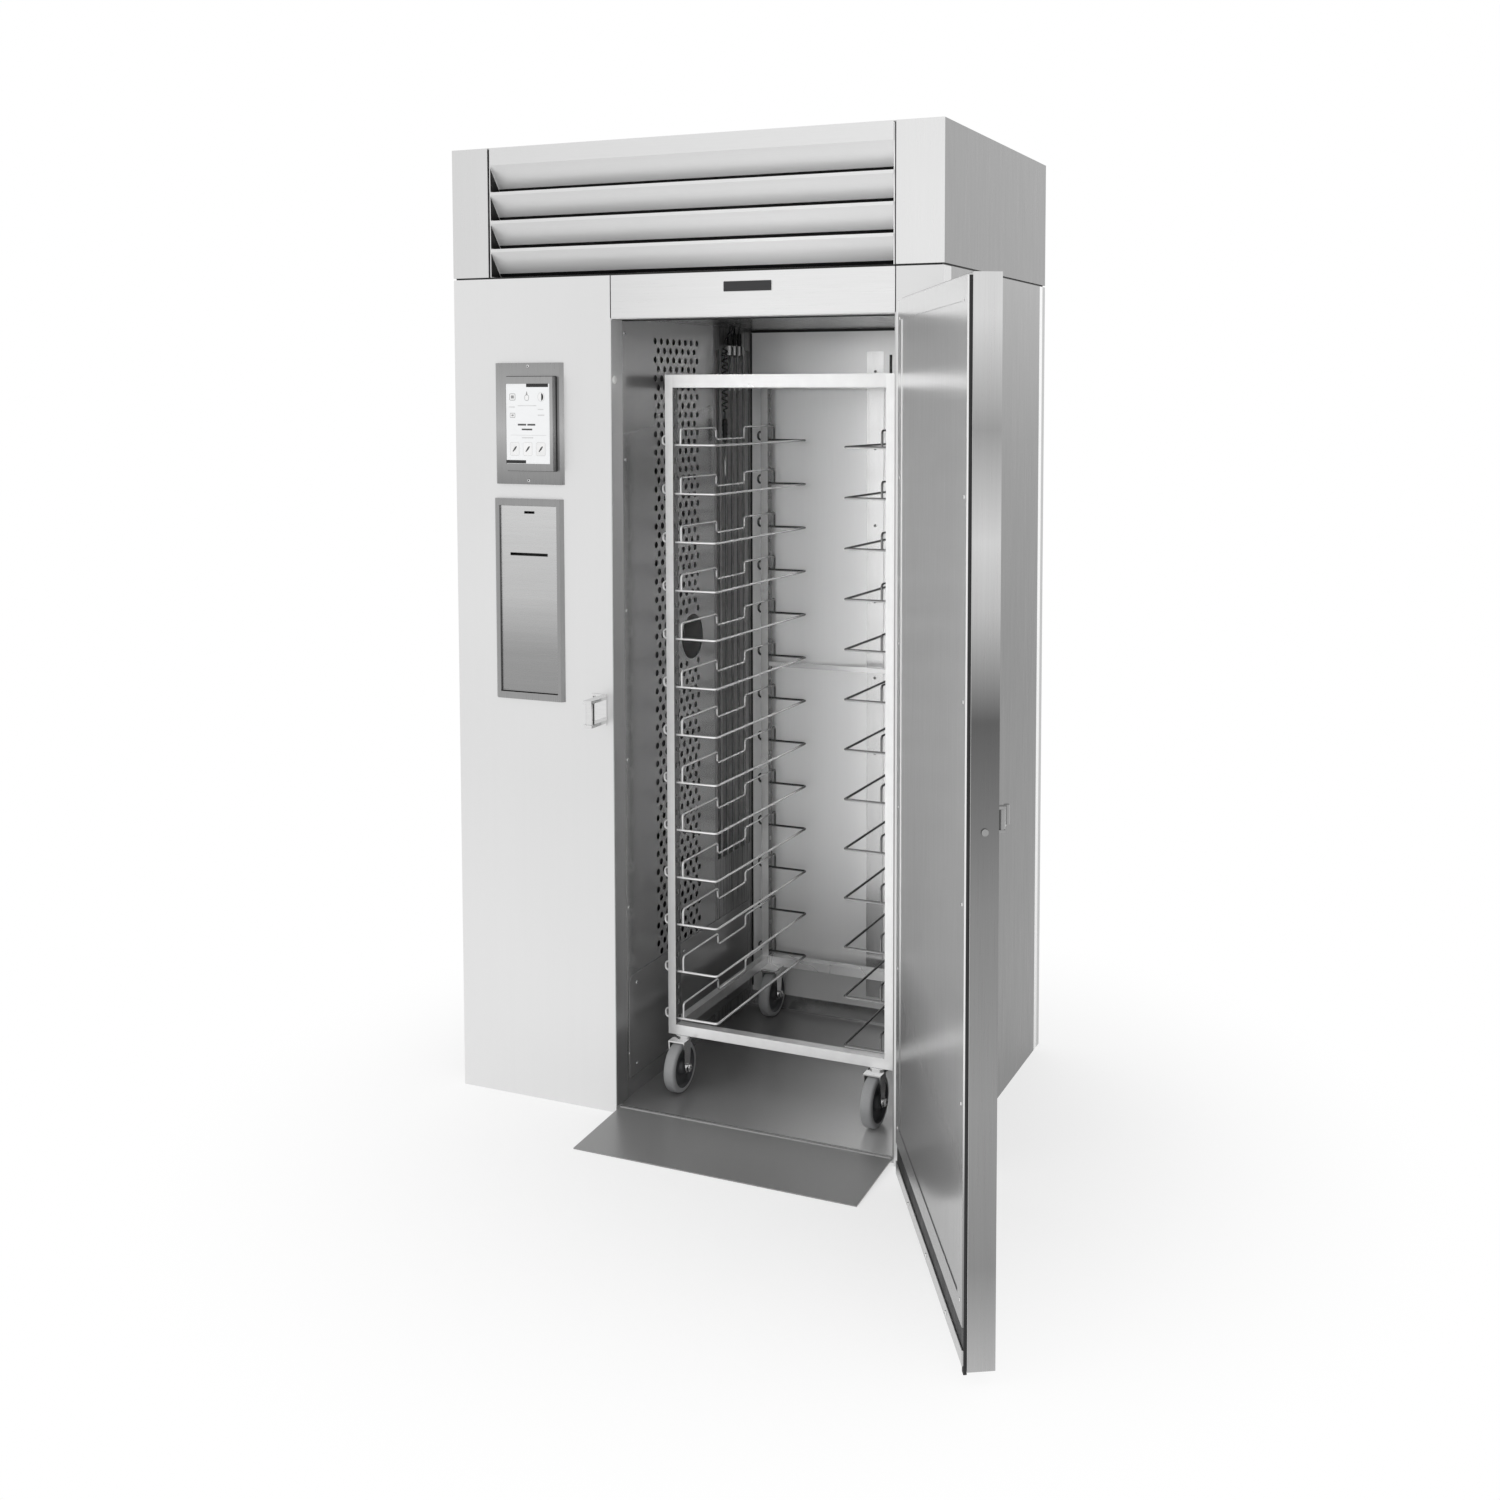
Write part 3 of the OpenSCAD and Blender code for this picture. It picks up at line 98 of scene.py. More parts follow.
class Mat:
    """A node material round one Principled shader."""

    def __init__(self, name, **sockets):
        self.mat = bpy.data.materials.new(name)
        self.mat.use_nodes = True
        self.tree = self.mat.node_tree
        self.bsdf = self.tree.nodes["Principled BSDF"]
        for key, value in sockets.items():
            self.bsdf.inputs[key.replace("_", " ")].default_value = value

    def node(self, kind, **props):
        n = self.tree.nodes.new(kind)
        for key, value in props.items():
            if key in n.inputs:
                n.inputs[key].default_value = value
            else:
                setattr(n, key, value)
        return n

    def link(self, a, b):
        self.tree.links.new(a, b)

    def feed(self, socket, value):
        """Write a plain value into a socket, or link a node's output to it."""
        if isinstance(value, (int, float, tuple)):
            socket.default_value = value
        else:
            self.link(value, socket)

    def place(self, scale):
        """Object coordinates stretched by scale."""
        tc = self.node("ShaderNodeTexCoord")
        mp = self.node("ShaderNodeMapping")
        mp.inputs["Scale"].default_value = scale
        self.link(tc.outputs["Object"], mp.inputs["Vector"])
        return mp.outputs["Vector"]

    def noise(self, scale, detail):
        n = self.node("ShaderNodeTexNoise")
        n.inputs["Scale"].default_value = 1
        n.inputs["Detail"].default_value = detail
        n.inputs["Roughness"].default_value = 0.55
        self.link(self.place(scale), n.inputs["Vector"])
        return n.outputs["Fac"]

    def span(self, value, a, b, lo=0.3, hi=0.7):
        """value taken from lo to hi over to a to b; noise keeps mostly to 0.3 to 0.7."""
        n = self.node("ShaderNodeMapRange")
        for key, v in (("From Min", lo), ("From Max", hi), ("To Min", a), ("To Max", b)):
            n.inputs[key].default_value = v
        self.link(value, n.inputs["Value"])
        return n.outputs["Result"]

    def math(self, op, a, b):
        n = self.node("ShaderNodeMath", operation=op)
        self.feed(n.inputs[0], a)
        self.feed(n.inputs[1], b)
        return n.outputs[0]

    def ramp(self, value, stops):
        n = self.node("ShaderNodeValToRGB")
        while len(n.color_ramp.elements) < len(stops):
            n.color_ramp.elements.new(0.5)
        for e, (pos, col) in zip(n.color_ramp.elements, stops):
            e.position, e.color = pos, col
        self.link(value, n.inputs["Fac"])
        return n.outputs["Color"]

    def shade(self, color, value):
        """color times a grey value, into the base colour."""
        n = self.node("ShaderNodeMix", data_type="RGBA", blend_type="MULTIPLY")
        n.inputs["Factor"].default_value = 1
        self.feed(n.inputs[6], color)
        self.link(value, n.inputs[7])
        self.link(n.outputs[2], self.bsdf.inputs["Base Color"])

    def bump(self, value, strength, distance):
        n = self.node("ShaderNodeBump")
        n.inputs["Strength"].default_value = strength
        n.inputs["Distance"].default_value = distance
        self.link(value, n.inputs["Height"])
        self.link(n.outputs["Normal"], self.bsdf.inputs["Normal"])

    def rough(self, value):
        self.link(value, self.bsdf.inputs["Roughness"])

    def tones(self, ramp):
        """Colour from tones set out along one object axis."""
        name, lo, hi, stops = ramp
        return self.ramp(self.axis(name, lo, hi), [(p, rgb(t)) for p, t in stops])

    def before(self, direction, at):
        """1 where the object place along a direction lies before at, in metres."""
        tc = self.node("ShaderNodeTexCoord")
        dot = self.node("ShaderNodeVectorMath", operation="DOT_PRODUCT")
        self.link(tc.outputs["Object"], dot.inputs[0])
        dot.inputs[1].default_value = direction
        return self.span(dot.outputs["Value"], 1, 0, at - 0.0004, at + 0.0004)

    def facing(self, name, sign, lo=0.55, hi=0.8):
        """1 on surfaces that face along one object axis."""
        tc = self.node("ShaderNodeTexCoord")
        sep = self.node("ShaderNodeSeparateXYZ")
        self.link(tc.outputs["Normal"], sep.inputs[0])
        return self.span(self.math("MULTIPLY", sep.outputs[name], sign), 0, 1, lo, hi)

    def swap(self, factor, a, b):
        """Colour a, or b where factor is 1."""
        n = self.node("ShaderNodeMix", data_type="RGBA")
        self.link(factor, n.inputs["Factor"])
        self.feed(n.inputs[6], a)
        self.feed(n.inputs[7], b)
        return n.outputs[2]

    def axis(self, name, lo, hi):
        """0 to 1 along one object axis, between two heights or widths in metres."""
        sep = self.node("ShaderNodeSeparateXYZ")
        tc = self.node("ShaderNodeTexCoord")
        self.link(tc.outputs["Object"], sep.inputs[0])
        return self.span(sep.outputs[name], 0, 1, lo, hi)


def steel(name, tone, grain, rough, contrast, bump, metallic=1.0, split=None, polish=None,
          rim=None):
    """Brushed sheet. tone is one tone, or tones along an axis: (axis, from, to, stops).
    grain names the axis along which the brush ran. split gives other tones to the part of
    the piece that lies before a place along a direction. polish lets the share of metal
    change along X, between two places. rim is the tone of all faces that don't look along X,
    such as the cut edges of a sheet."""
    m = Mat(name, Metallic=metallic)
    if polish:
        lo, hi, a, b = polish
        m.link(m.span(m.axis("X", lo, hi), a, b, 0, 1), m.bsdf.inputs["Metallic"])
    f = m.noise(tuple(7 if axis == grain else 420 for axis in "xyz"), 3)
    w = m.noise(tuple(1.2 if axis == grain else 60 for axis in "xyz"), 2)
    cloud = m.noise((1.6, 1.6, 1.6), 1)
    tint = m.math("MULTIPLY", m.span(f, 1 - contrast, 1 + contrast),
                  m.span(w, 1 - contrast * 0.6, 1 + contrast * 0.6))
    tint = m.math("MULTIPLY", tint, m.span(cloud, 0.985, 1.015))
    color = m.tones(tone) if isinstance(tone, tuple) else rgb(tone)
    if split:
        direction, at, other = split
        color = m.swap(m.before(direction, at), color, m.tones(other))
    if rim:
        across = m.math("MAXIMUM", m.facing("X", 1, 0.4, 0.6), m.facing("X", -1, 0.4, 0.6))
        color = m.swap(across, rgb(rim), color)
    m.shade(color, tint)
    m.rough(m.span(f, *rough))
    m.bump(f, bump, 0.0004)
    return m.mat


def mirror_steel(name, tones, rough, wave):
    """Smooth metal that still shows a faint grain and slow waves."""
    m = Mat(name, Metallic=1.0)
    f = m.noise((30, 30, 260), 3)
    cloud = m.noise((3, 3, 3), 2)
    m.shade(rgb(*tones), m.math("MULTIPLY", m.span(f, 0.975, 1.025),
                                m.span(cloud, 0.96, 1.04)))
    m.rough(m.span(cloud, *rough))
    m.bump(m.noise((2.2, 2.2, 5), 1), wave, 0.004)
    return m.mat


def plastic(name, tones, rough, grain, strength, **sockets):
    """Moulded or cast matter with a fine grain and faint clouds."""
    m = Mat(name, **sockets)
    f = m.noise((grain, grain, grain), 2)
    cloud = m.noise((25, 25, 25), 2)
    m.shade(rgb(*tones), m.math("MULTIPLY", m.span(f, 0.94, 1.06), m.span(cloud, 0.95, 1.05)))
    m.rough(m.span(cloud, *rough))
    m.bump(f, strength, 0.0003)
    return m.mat


# Painted shade: the side sheets are darker than the front, lightening towards the top.
SIDE_TONES = ("Z", 0.0, 1.94, [(0, 0x7E), (0.5, 0x78), (0.8, 0x8A), (1, 0xA8)])

# Painted light: the front sheet's tone rises towards the foot, to offset the shade that falls
# there.
panel_mat = steel("front_sheet", ("Z", 0.0, 1.94, [(0, 0xE8), (0.4, 0xE0), (1, 0xE0)]), "z",
                  (0.30, 0.42), 0.006, 0.01, 0.85)
# Painted shade: the header is darker towards its left end.
header_mat = steel("header_sheet", ("X", -0.19, 0.50, [(0, 0xDC), (0.5, 0xEA), (1, 0xE8)]),
                   "x", (0.26, 0.36), 0.02, 0.03)
# Painted light and shade: the blades fall back and lie in shade at the foot, so their tone rises
# there, and they are darker towards the left.
blade = Mat("blade_sheet", Metallic=0.25)
blade_grain = blade.noise((7, 420, 420), 3)
blade_stops = [(k / BLADES + at, tone) for k in range(BLADES)
               for at, tone in ((0.0, 0xFA), (0.10, 0xF8), (0.20, 0xE8), (0.245, 0xE2))]
blade.shade(blade.tones(("Z", MACHINE / 1000, (MACHINE + BLADES * BLADE_PITCH) / 1000,
                         blade_stops)),
            blade.math("MULTIPLY", blade.span(blade_grain, 0.988, 1.012),
                       blade.span(blade.axis("X", -0.5, 0.5), 0.90, 1.03, 0, 1)))
blade.rough(blade.span(blade_grain, 0.30, 0.38))
blade.bump(blade_grain, 0.015, 0.0004)
# Painted shade: near black inside, where it stands in the shade behind the evaporator cover, and
# the right side's painted shade outside.
left_wall_mat = steel("left_wall_sheet", ("Z", 0.0, 1.94, [(0, 0x2A), (1, 0x30)]), "z",
                      (0.34, 0.40), 0.008, 0.008, 0.8, (X, -0.6035, SIDE_TONES))
side_mat = steel("side_sheet", SIDE_TONES, "z", (0.26, 0.38), 0.015, 0.02)
# Painted shade: the sides of the machine compartment are darker than its front posts, and the
# front is darker towards the left.
shell_mat = steel("machine_sheet", ("Z", 1.94, 2.24, [(0, 0x96), (1, 0x9A)]), "z",
                  (0.26, 0.38), 0.012, 0.02,
                  split=(Y, -0.3895, ("X", -0.6, 0.6, [(0, 0xD6), (1, 0xE6)])))
box_mat = steel("back_sheet", 0xB4, "z", (0.30, 0.42), 0.04, 0.04)
# Painted light: the doorway's side of the back wall is painted bright, with painted shade
# towards the foot; its outside is as the other sheets.
back_wall_mat = steel("back_wall_sheet", ("Z", 0.0, 2.0, [(0, 0xB0), (1, 0xB8)]), "z",
                      (0.16, 0.22), 0.008, 0.01,
                      split=(Y, 0.37, ("Z", 0.1, 1.85, [(0, 0xE4), (0.3, 0xF4), (0.7, 0xFF),
                                                        (1, 0xFF)])),
                      polish=(-0.15, 0.45, 0.1, 0.45))
top_mat = steel("top_sheet", 0xB8, "x", (0.30, 0.42), 0.04, 0.04)
ceiling_mat = steel("ceiling_sheet", 0x78, "y", (0.20, 0.30), 0.008, 0.01, 0.75)
kick_mat = steel("kick_sheet", 0x94, "y", (0.22, 0.26), 0.004, 0.005, 0.5)
# Painted light: bright tones with painted shade towards the foot, as on the back wall.
back_inner_mat = steel("inner_back_sheet",
                       ("Z", 0.1, 1.85, [(0, 0xB8), (0.3, 0xDC), (0.7, 0xF8), (1, 0xFF)]), "z",
                       (0.16, 0.26), 0.01, 0.01, 0.85)
# Painted shade: the cover darkens in a band below its top, and the walls of its holes are near
# black.
cover_mat = steel("cover_sheet", ("Z", 0.0, 1.85, [(0, 0xA0), (0.7, 0xA0), (0.82, 0x86),
                                                   (0.9, 0xC0), (1, 0xD0)]), "z",
                  (0.20, 0.26), 0.006, 0.006, 0.7, rim=0x16)
duct_mat = steel("duct_sheet", 0x38, "z", (0.34, 0.4), 0.008, 0.008, 0.3)
slat_mat = steel("slat_sheet", 0x84, "z", (0.26, 0.30), 0.006, 0.006, 0.5)
# Painted shade: the floor pan darkens towards the left.
floor_mat = steel("floor_sheet", ("X", -0.2, 0.5, [(0, 0x8E), (0.45, 0xB0), (1, 0xEC)]), "x",
                  (0.23, 0.27), 0.005, 0.006, 0.45)
ramp_mat = steel("ramp_sheet", 0x9A, "x", (0.28, 0.34), 0.008, 0.008, 0.4)
# Painted shade: the throat trim darkens towards the foot.
throat_mat = steel("throat_sheet", ("Z", 0.0, 1.84, [(0, 0x94), (0.6, 0xAC), (1, 0xD8)]), "z",
                   (0.28, 0.40), 0.012, 0.015, 0.5)
# Painted shade: the door liner darkens towards its foot.
door_in_mat = steel("door_liner_sheet",
                    ("Z", 0.0, 1.86, [(0, 0x88), (0.1, 0x8C), (0.17, 0xA4), (0.3, 0xF2),
                                      (0.8, 0xF2), (1, 0xEC)]), "z",
                    (0.16, 0.24), 0.012, 0.01, 0.5)
# Painted reflection: the outer 4 mm of the door's free edge take a band of light and dark tones
# along its height, as a bright sheet reflects a room.
ALONG = (math.cos(OPEN_ANGLE), math.sin(OPEN_ANGLE), 0)
EDGE_AT = (HINGE[0] * ALONG[0] + HINGE[1] * ALONG[1] - (HINGE[0] - DOOR_L - 4)) / 1000
door_out_mat = steel("door_sheet", ("Z", 0.0, 1.87, [(0, 0xA8), (1, 0xAC)]), "z",
                     (0.26, 0.36), 0.03, 0.03,
                     split=(ALONG, EDGE_AT,
                            ("Z", 0.02, 1.87, [(0, 0xB4), (0.1, 0x8C), (0.25, 0x96),
                                               (0.43, 0x88), (0.6, 0x60), (0.7, 0xBC),
                                               (0.76, 0xD0), (0.86, 0x9C), (0.96, 0xD6)])))


def rack_steel(name, front, side, under, rod=None):
    """Polished tube with painted light and shade: bright to the front, dark to the sides and
    below. What stands higher than rod is dark, as the short rod on the frame is."""
    m = Mat(name, Metallic=0.6)
    cloud = m.noise((3, 3, 3), 2)
    col = m.swap(m.facing("X", 1), rgb(front), rgb(side))
    col = m.swap(m.facing("X", -1), col, rgb(side))
    col = m.swap(m.facing("Z", -1), col, rgb(under))
    if rod:
        col = m.swap(m.before((0, 0, -1), -rod), col, rgb(0x38))
    m.shade(col, m.math("MULTIPLY", m.span(m.noise((40, 40, 40), 3), 0.97, 1.03),
                        m.span(cloud, 0.97, 1.03)))
    m.rough(m.span(cloud, 0.18, 0.28))
    m.bump(m.noise((2.2, 2.2, 5), 1), 0.02, 0.004)
    return m.mat


def wire_steel(name, stops, under):
    """Polished wire with painted light and shade: tones change with depth, another below."""
    m = Mat(name, Metallic=0.45)
    cloud = m.noise((9, 9, 9), 2)
    col = m.ramp(m.axis("Y", -0.24, 0.31), [(p, rgb(t)) for p, t in stops])
    col = m.swap(m.facing("Z", -1, -0.1, 0.5), col, rgb(under))
    m.shade(col, m.span(cloud, 0.94, 1.06))
    m.rough(m.span(cloud, 0.10, 0.20))
    m.bump(m.noise((60, 60, 60), 1), 0.02, 0.001)
    return m.mat


post_mat = rack_steel("rack_posts", 0xFA, 0x78, 0x60)
bar_mat = rack_steel("rack_bars", 0xF0, 0xA8, 0x50, rod=1.7165)
base_mat = rack_steel("rack_base", 0xFA, 0xC0, 0x50)
left_wire_mat = wire_steel("left_wires", [(0, 0xFF), (0.8, 0xF8), (0.93, 0x50), (1, 0x38)], 0xA0)
right_wire_mat = wire_steel("right_wires", [(0, 0x80), (0.05, 0x48), (1, 0x40)], 0xE8)
# Painted light and shade: the frames' tone rises and falls along their height.
frame_mat = steel("control_frame",
                  ("Z", 0.95, 1.75, [(0, 0x98), (0.3, 0x94), (0.59, 0x98), (0.64, 0x88),
                                     (0.8, 0xB4), (1, 0x98)]), "z", (0.26, 0.36), 0.03, 0.03)
# Painted shade: the printer flap darkens towards its foot.
flap_mat = steel("flap_sheet",
                 ("Z", 0.97, 1.42, [(0, 0x94), (0.22, 0x98), (0.5, 0xBA), (1, 0xCC)]), "x",
                 (0.22, 0.32), 0.03, 0.03)
dark_steel = steel("dark_steel", 0x30, "x", (0.35, 0.5), 0.08, 0.1, 0.7)
bright_mat = mirror_steel("bright_metal", (0xDC,), (0.10, 0.20), 0.03)
grey_metal = mirror_steel("grey_metal", (0x9A,), (0.16, 0.28), 0.03)
copper_mat = mirror_steel("copper_tube", (0xC8, 0x86, 0x62), (0.22, 0.36), 0.05)
cast_mat = plastic("cast_iron_black", (0x24, 0x24, 0x26), (0.4, 0.6), 500, 0.3, Metallic=0.4)
rubber_mat = plastic("seal_rubber", (0x1C, 0x1C, 0x1D), (0.5, 0.65), 700, 0.2)
black_mat = plastic("black_plastic", (0x22, 0x22, 0x23), (0.35, 0.5), 900, 0.15)
lead_mat = plastic("lead_jacket", (0x16, 0x16, 0x17), (0.32, 0.45), 900, 0.12)
tread_mat = plastic("wheel_tread", (0xA6, 0xA7, 0xA8), (0.42, 0.58), 600, 0.2)
web_mat = plastic("wheel_web", (0x3C, 0x3D, 0x3F), (0.35, 0.5), 700, 0.2)
foam_mat = plastic("foam", (0xE2, 0xD8, 0xB4), (0.8, 0.95), 240, 0.6)
white_mat = plastic("white_plug", (0xE8, 0xE8, 0xE6), (0.3, 0.42), 700, 0.08)

FIN_PITCH = 0.006


def fin_material(name, axis, tone):
    """Finned coil: thin plates across one axis, with painted shade in the gaps between them."""
    m = Mat(name, Metallic=0.9)
    tc = m.node("ShaderNodeTexCoord")
    wave = m.node("ShaderNodeTexWave", wave_type="BANDS", bands_direction=axis)
    wave.inputs["Scale"].default_value = math.pi / FIN_PITCH / 10
    wave.inputs["Distortion"].default_value = 0.2
    m.link(tc.outputs["Object"], wave.inputs["Vector"])
    m.shade(rgb(*tone), m.span(wave.outputs["Fac"], 0.35, 1.0, 0.0, 0.8))
    m.rough(m.span(m.noise((60, 60, 60), 2), 0.3, 0.45))
    m.bump(wave.outputs["Fac"], 0.6, 0.001)
    return m.mat


coil_mat = fin_material("coil_fins", "Z", (0xB8, 0xB2, 0xA6))
condenser_mat = fin_material("condenser_fins", "X", (0xA8, 0xA6, 0xA2))

screen = Mat("screen_glass", Coat_Weight=0.6, Coat_Roughness=0.04)
screen.shade(rgb(0xF6, 0xF7, 0xF8), screen.span(screen.noise((8, 8, 8), 1), 0.985, 1.0))
screen.rough(screen.span(screen.noise((30, 30, 30), 1), 0.10, 0.16))

INK_BLACK, INK_DARK, INK_MID, INK_PALE, INK_WHITE = range(5)
ink = [plastic(name, (tone,), (0.25, 0.35), 1500, 0.02)
       for name, tone in (("ui_black", 0x16), ("ui_dark", 0x50), ("ui_mid", 0x9A),
                          ("ui_pale", 0xD2), ("ui_white", 0xF4))]


def dress(mat, *names):
    """One material on carried-over solids."""
    for n in names:
        me = nodes[n].data
        me.materials.clear()
        me.materials.append(mat)


dress(panel_mat, "service_panel", "right_jamb")
dress(header_mat, "header_panel")
dress(side_mat, "right_side_wall")
dress(left_wall_mat, "left_side_wall")
dress(box_mat, "electrical_box")
dress(back_wall_mat, "back_wall")
dress(top_mat, "top_cover", "drain_pan")
dress(ceiling_mat, "ceiling_panel")
dress(kick_mat, "kick_plates")
dress(slat_mat, "return_grille")
dress(cover_mat, "evaporator_cover")
dress(floor_mat, "floor_pan")
dress(ramp_mat, "ramp", "ramp_hinge_leaf")
dress(throat_mat, "throat_trim")
dress(duct_mat, "fan_bulkhead")
dress(back_inner_mat, "back_trims")
dress(dark_steel, "seam_deck", "condenser_shroud")
dress(cast_mat, "compressor")
dress(blade.mat, "louvre_grille")
dress(frame_mat, "display_bezel", "printer_frame")
dress(flap_mat, "printer_cover")
dress(screen.mat, "touchscreen")
dress(black_mat, "printer_mechanism", "evaporator_fan_low", "evaporator_fan_high",
      "condenser_fan")
dress(bright_mat, "strike", "rigid_forks", "swivel_fork_left", "swivel_fork_right")
dress(grey_metal, "probe_holder", "hinge_brackets", "door_hardware", "door_handle", "latch_bolt")
dress(door_out_mat, "door_shell")
dress(door_in_mat, "door_liner")
dress(back_inner_mat, "door_retainer")
dress(rubber_mat, "door_gasket")
dress(foam_mat, "door_core")
dress(coil_mat, "evaporator_coil")
dress(condenser_mat, "condenser_coil")
dress(copper_mat, "refrigerant_pipes")
dress(post_mat, "rack_uprights")
dress(bar_mat, "rack_bars")
dress(base_mat, "rack_base_frame")
dress(left_wire_mat, "left_slides")
dress(right_wire_mat, "right_slides")
dress(web_mat, "wheel_front_left", "wheel_front_right", "wheel_rear_left", "wheel_rear_right")
dress(lead_mat, "food_probes", "probe_lead")
dress(shell_mat, "machine_shell")


# ---- Mesh builder ----

class Piece:
    """Collects shapes, in millimetres, into one mesh object that rides on a body."""

    def __init__(self, name, mats, turn=None):
        self.name, self.mats, self.turn = name, mats, turn
        self.bm = bmesh.new()

    def add(self, verts, faces, mat):
        if self.turn:
            verts = [self.turn(v) for v in verts]
        vs = [self.bm.verts.new(mm(*v)) for v in verts]
        for f in faces:
            self.bm.faces.new([vs[i] for i in f]).material_index = mat

    def prism(self, pts, lo, hi, axis="y", mat=0):
        """A flat outline (two coordinates) raised along an axis."""
        put = {"x": lambda u, v, w: (w, u, v), "y": lambda u, v, w: (u, w, v),
               "z": lambda u, v, w: (u, v, w)}[axis]
        n = len(pts)
        ends = [put(u, v, w) for w in (lo, hi) for u, v in pts]
        faces = [list(range(n))[::-1], list(range(n, 2 * n))]
        faces += [[i, (i + 1) % n, n + (i + 1) % n, n + i] for i in range(n)]
        self.add(ends, faces, mat)

    def slab(self, x0, x1, y0, y1, z0, z1):
        self.prism([(x0, z0), (x1, z0), (x1, z1), (x0, z1)], y0, y1)

    def lathe(self, profile, at, axis, n=32, mats=None, smooth=True):
        """profile: (radius, height) pairs; a radius of 0 closes on the axis. mats gives a
        material to each step of the profile."""
        axis = Vector(axis).normalized()
        side = axis.orthogonal().normalized()
        other = axis.cross(side)
        verts, rings = [], []
        for r, h in profile:
            c = Vector(at) + axis * h
            if r <= 1e-6:
                rings.append([len(verts)])
                verts.append(tuple(c))
            else:
                ids = []
                for k in range(n):
                    a = 2 * math.pi * k / n
                    ids.append(len(verts))
                    verts.append(tuple(c + side * (r * math.cos(a)) + other * (r * math.sin(a))))
                rings.append(ids)
        if self.turn:
            verts = [self.turn(v) for v in verts]
        vs = [self.bm.verts.new(mm(*v)) for v in verts]
        for i in range(len(rings) - 1):
            a, b = rings[i], rings[i + 1]
            mat = mats[i] if mats else 0
            for k in range(n):
                k2 = (k + 1) % n
                if len(a) == 1 and len(b) == 1:
                    continue
                if len(a) == 1:
                    ids = [a[0], b[k2], b[k]]
                elif len(b) == 1:
                    ids = [a[k], a[k2], b[0]]
                else:
                    ids = [a[k], a[k2], b[k2], b[k]]
                f = self.bm.faces.new([vs[j] for j in ids])
                f.material_index = mat
                f.smooth = smooth

    def screw(self, at, axis, r=4.0, h=2.2):
        """Button-head screw with its socket painted dark, for the shade in it."""
        prof = [(0, h - 1.6), (0.42 * r, h - 1.6), (0.42 * r, h), (0.62 * r, h),
                (0.88 * r, 0.62 * h), (r, 0.15 * h), (r, -0.4)]
        self.lathe(prof, at, axis, 20, [1, 1, 0, 0, 0, 0])

    def nut(self, at, axis, across, h):
        """Hexagon nut with a domed end, on its washer."""
        r = across / math.sqrt(3)
        self.lathe([(0, 0), (r * 1.25, 0), (r * 1.25, 1.2), (r * 0.9, 1.2)], at, axis, 24,
                   smooth=False)
        self.lathe([(r * 0.5, 1.2), (r, 1.2), (r, h - 1), (r * 0.86, h)], at, axis, 6,
                   smooth=False)
        self.lathe([(r * 0.86, h - 0.6), (r * 0.6, h + 0.6), (r * 0.4, h + 2), (0, h + 2.4)], at,
                   axis, 20)

    def done(self, body, slot):
        """Make the object and ride it on its body; slot is not used."""
        me = bpy.data.meshes.new(self.name)
        bmesh.ops.recalc_face_normals(self.bm, faces=self.bm.faces)
        self.bm.to_mesh(me)
        self.bm.free()
        for m in self.mats:
            me.materials.append(m)
        obj = bpy.data.objects.new(self.name, me)
        scene.collection.objects.link(obj)
        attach(obj, body)
        return obj


def rounded(x0, x1, z0, z1, r, n=5):
    """Outline of a rectangle with rounded corners."""
    pts = []
    for cx, cz, a0 in ((x1 - r, z0 + r, -90), (x1 - r, z1 - r, 0), (x0 + r, z1 - r, 90),
                       (x0 + r, z0 + r, 180)):
        for k in range(n + 1):
            a = math.radians(a0 + 90 * k / n)
            pts.append((cx + r * math.cos(a), cz + r * math.sin(a)))
    return pts


# ---- The curly probe lead, on the same route as its solid ----

LEAD_X, LEAD_Y = OPEN_L + 24, FRONT + 535
LEAD_TOP, CURLS, CURL_PITCH, CURL_R, LEAD_D = 1798.0, 11, 16.0, 7.0, 3.5
LEAD_LOW = LEAD_TOP - CURLS * CURL_PITCH
LEAD_END = LEAD_LOW - 12


def ease(t):
    """0 to 1 with a soft start and end."""
    return t * t * (3 - 2 * t)


# Down from the holder's bushing, which lies further back, then round the curls.
LEAD_BACK, DROP_STEPS, CURL_STEPS = 46, 12, 20
route = []
for i in range(DROP_STEPS + 1):
    t = i / DROP_STEPS
    route.append((LEAD_X, LEAD_Y + LEAD_BACK * (1 - ease(t)),
                  OPEN_TOP - (OPEN_TOP - LEAD_TOP - 6) * t))
for i in range(CURLS * CURL_STEPS + 1):
    t = i / CURL_STEPS
    r = CURL_R * ease(min(1, t, CURLS - t))
    a = 2 * math.pi * t
    route.append((LEAD_X + r * math.cos(a), LEAD_Y + r * math.sin(a),
                  LEAD_TOP - t * CURL_PITCH))
# The lead runs on through the hand probe's grip and a little way into its needle.
route += [(LEAD_X, LEAD_Y, LEAD_LOW - 6), (LEAD_X, LEAD_Y, LEAD_END)]
route += [(LEAD_X, LEAD_Y, LEAD_END - 12 * k) for k in range(1, 8)]
route = [mm(*p) for p in route]

curve = bpy.data.curves.new("curly_lead", "CURVE")
curve.dimensions = "3D"
curve.bevel_depth = LEAD_D / 2000
curve.bevel_resolution = 4
curve.use_fill_caps = True
spline = curve.splines.new("POLY")
spline.points.add(len(route) - 1)
for p, co in zip(spline.points, route):
    p.co = (*co, 1)
lead = bpy.data.objects.new("curly_lead", curve)
scene.collection.objects.link(lead)
curve.materials.append(lead_mat)
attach(lead, "cabinet")
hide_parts("probe_lead")

# Grips with ribs and needles of the four probes, in place of the plain ones.
probe_mats = [lead_mat, bright_mat]


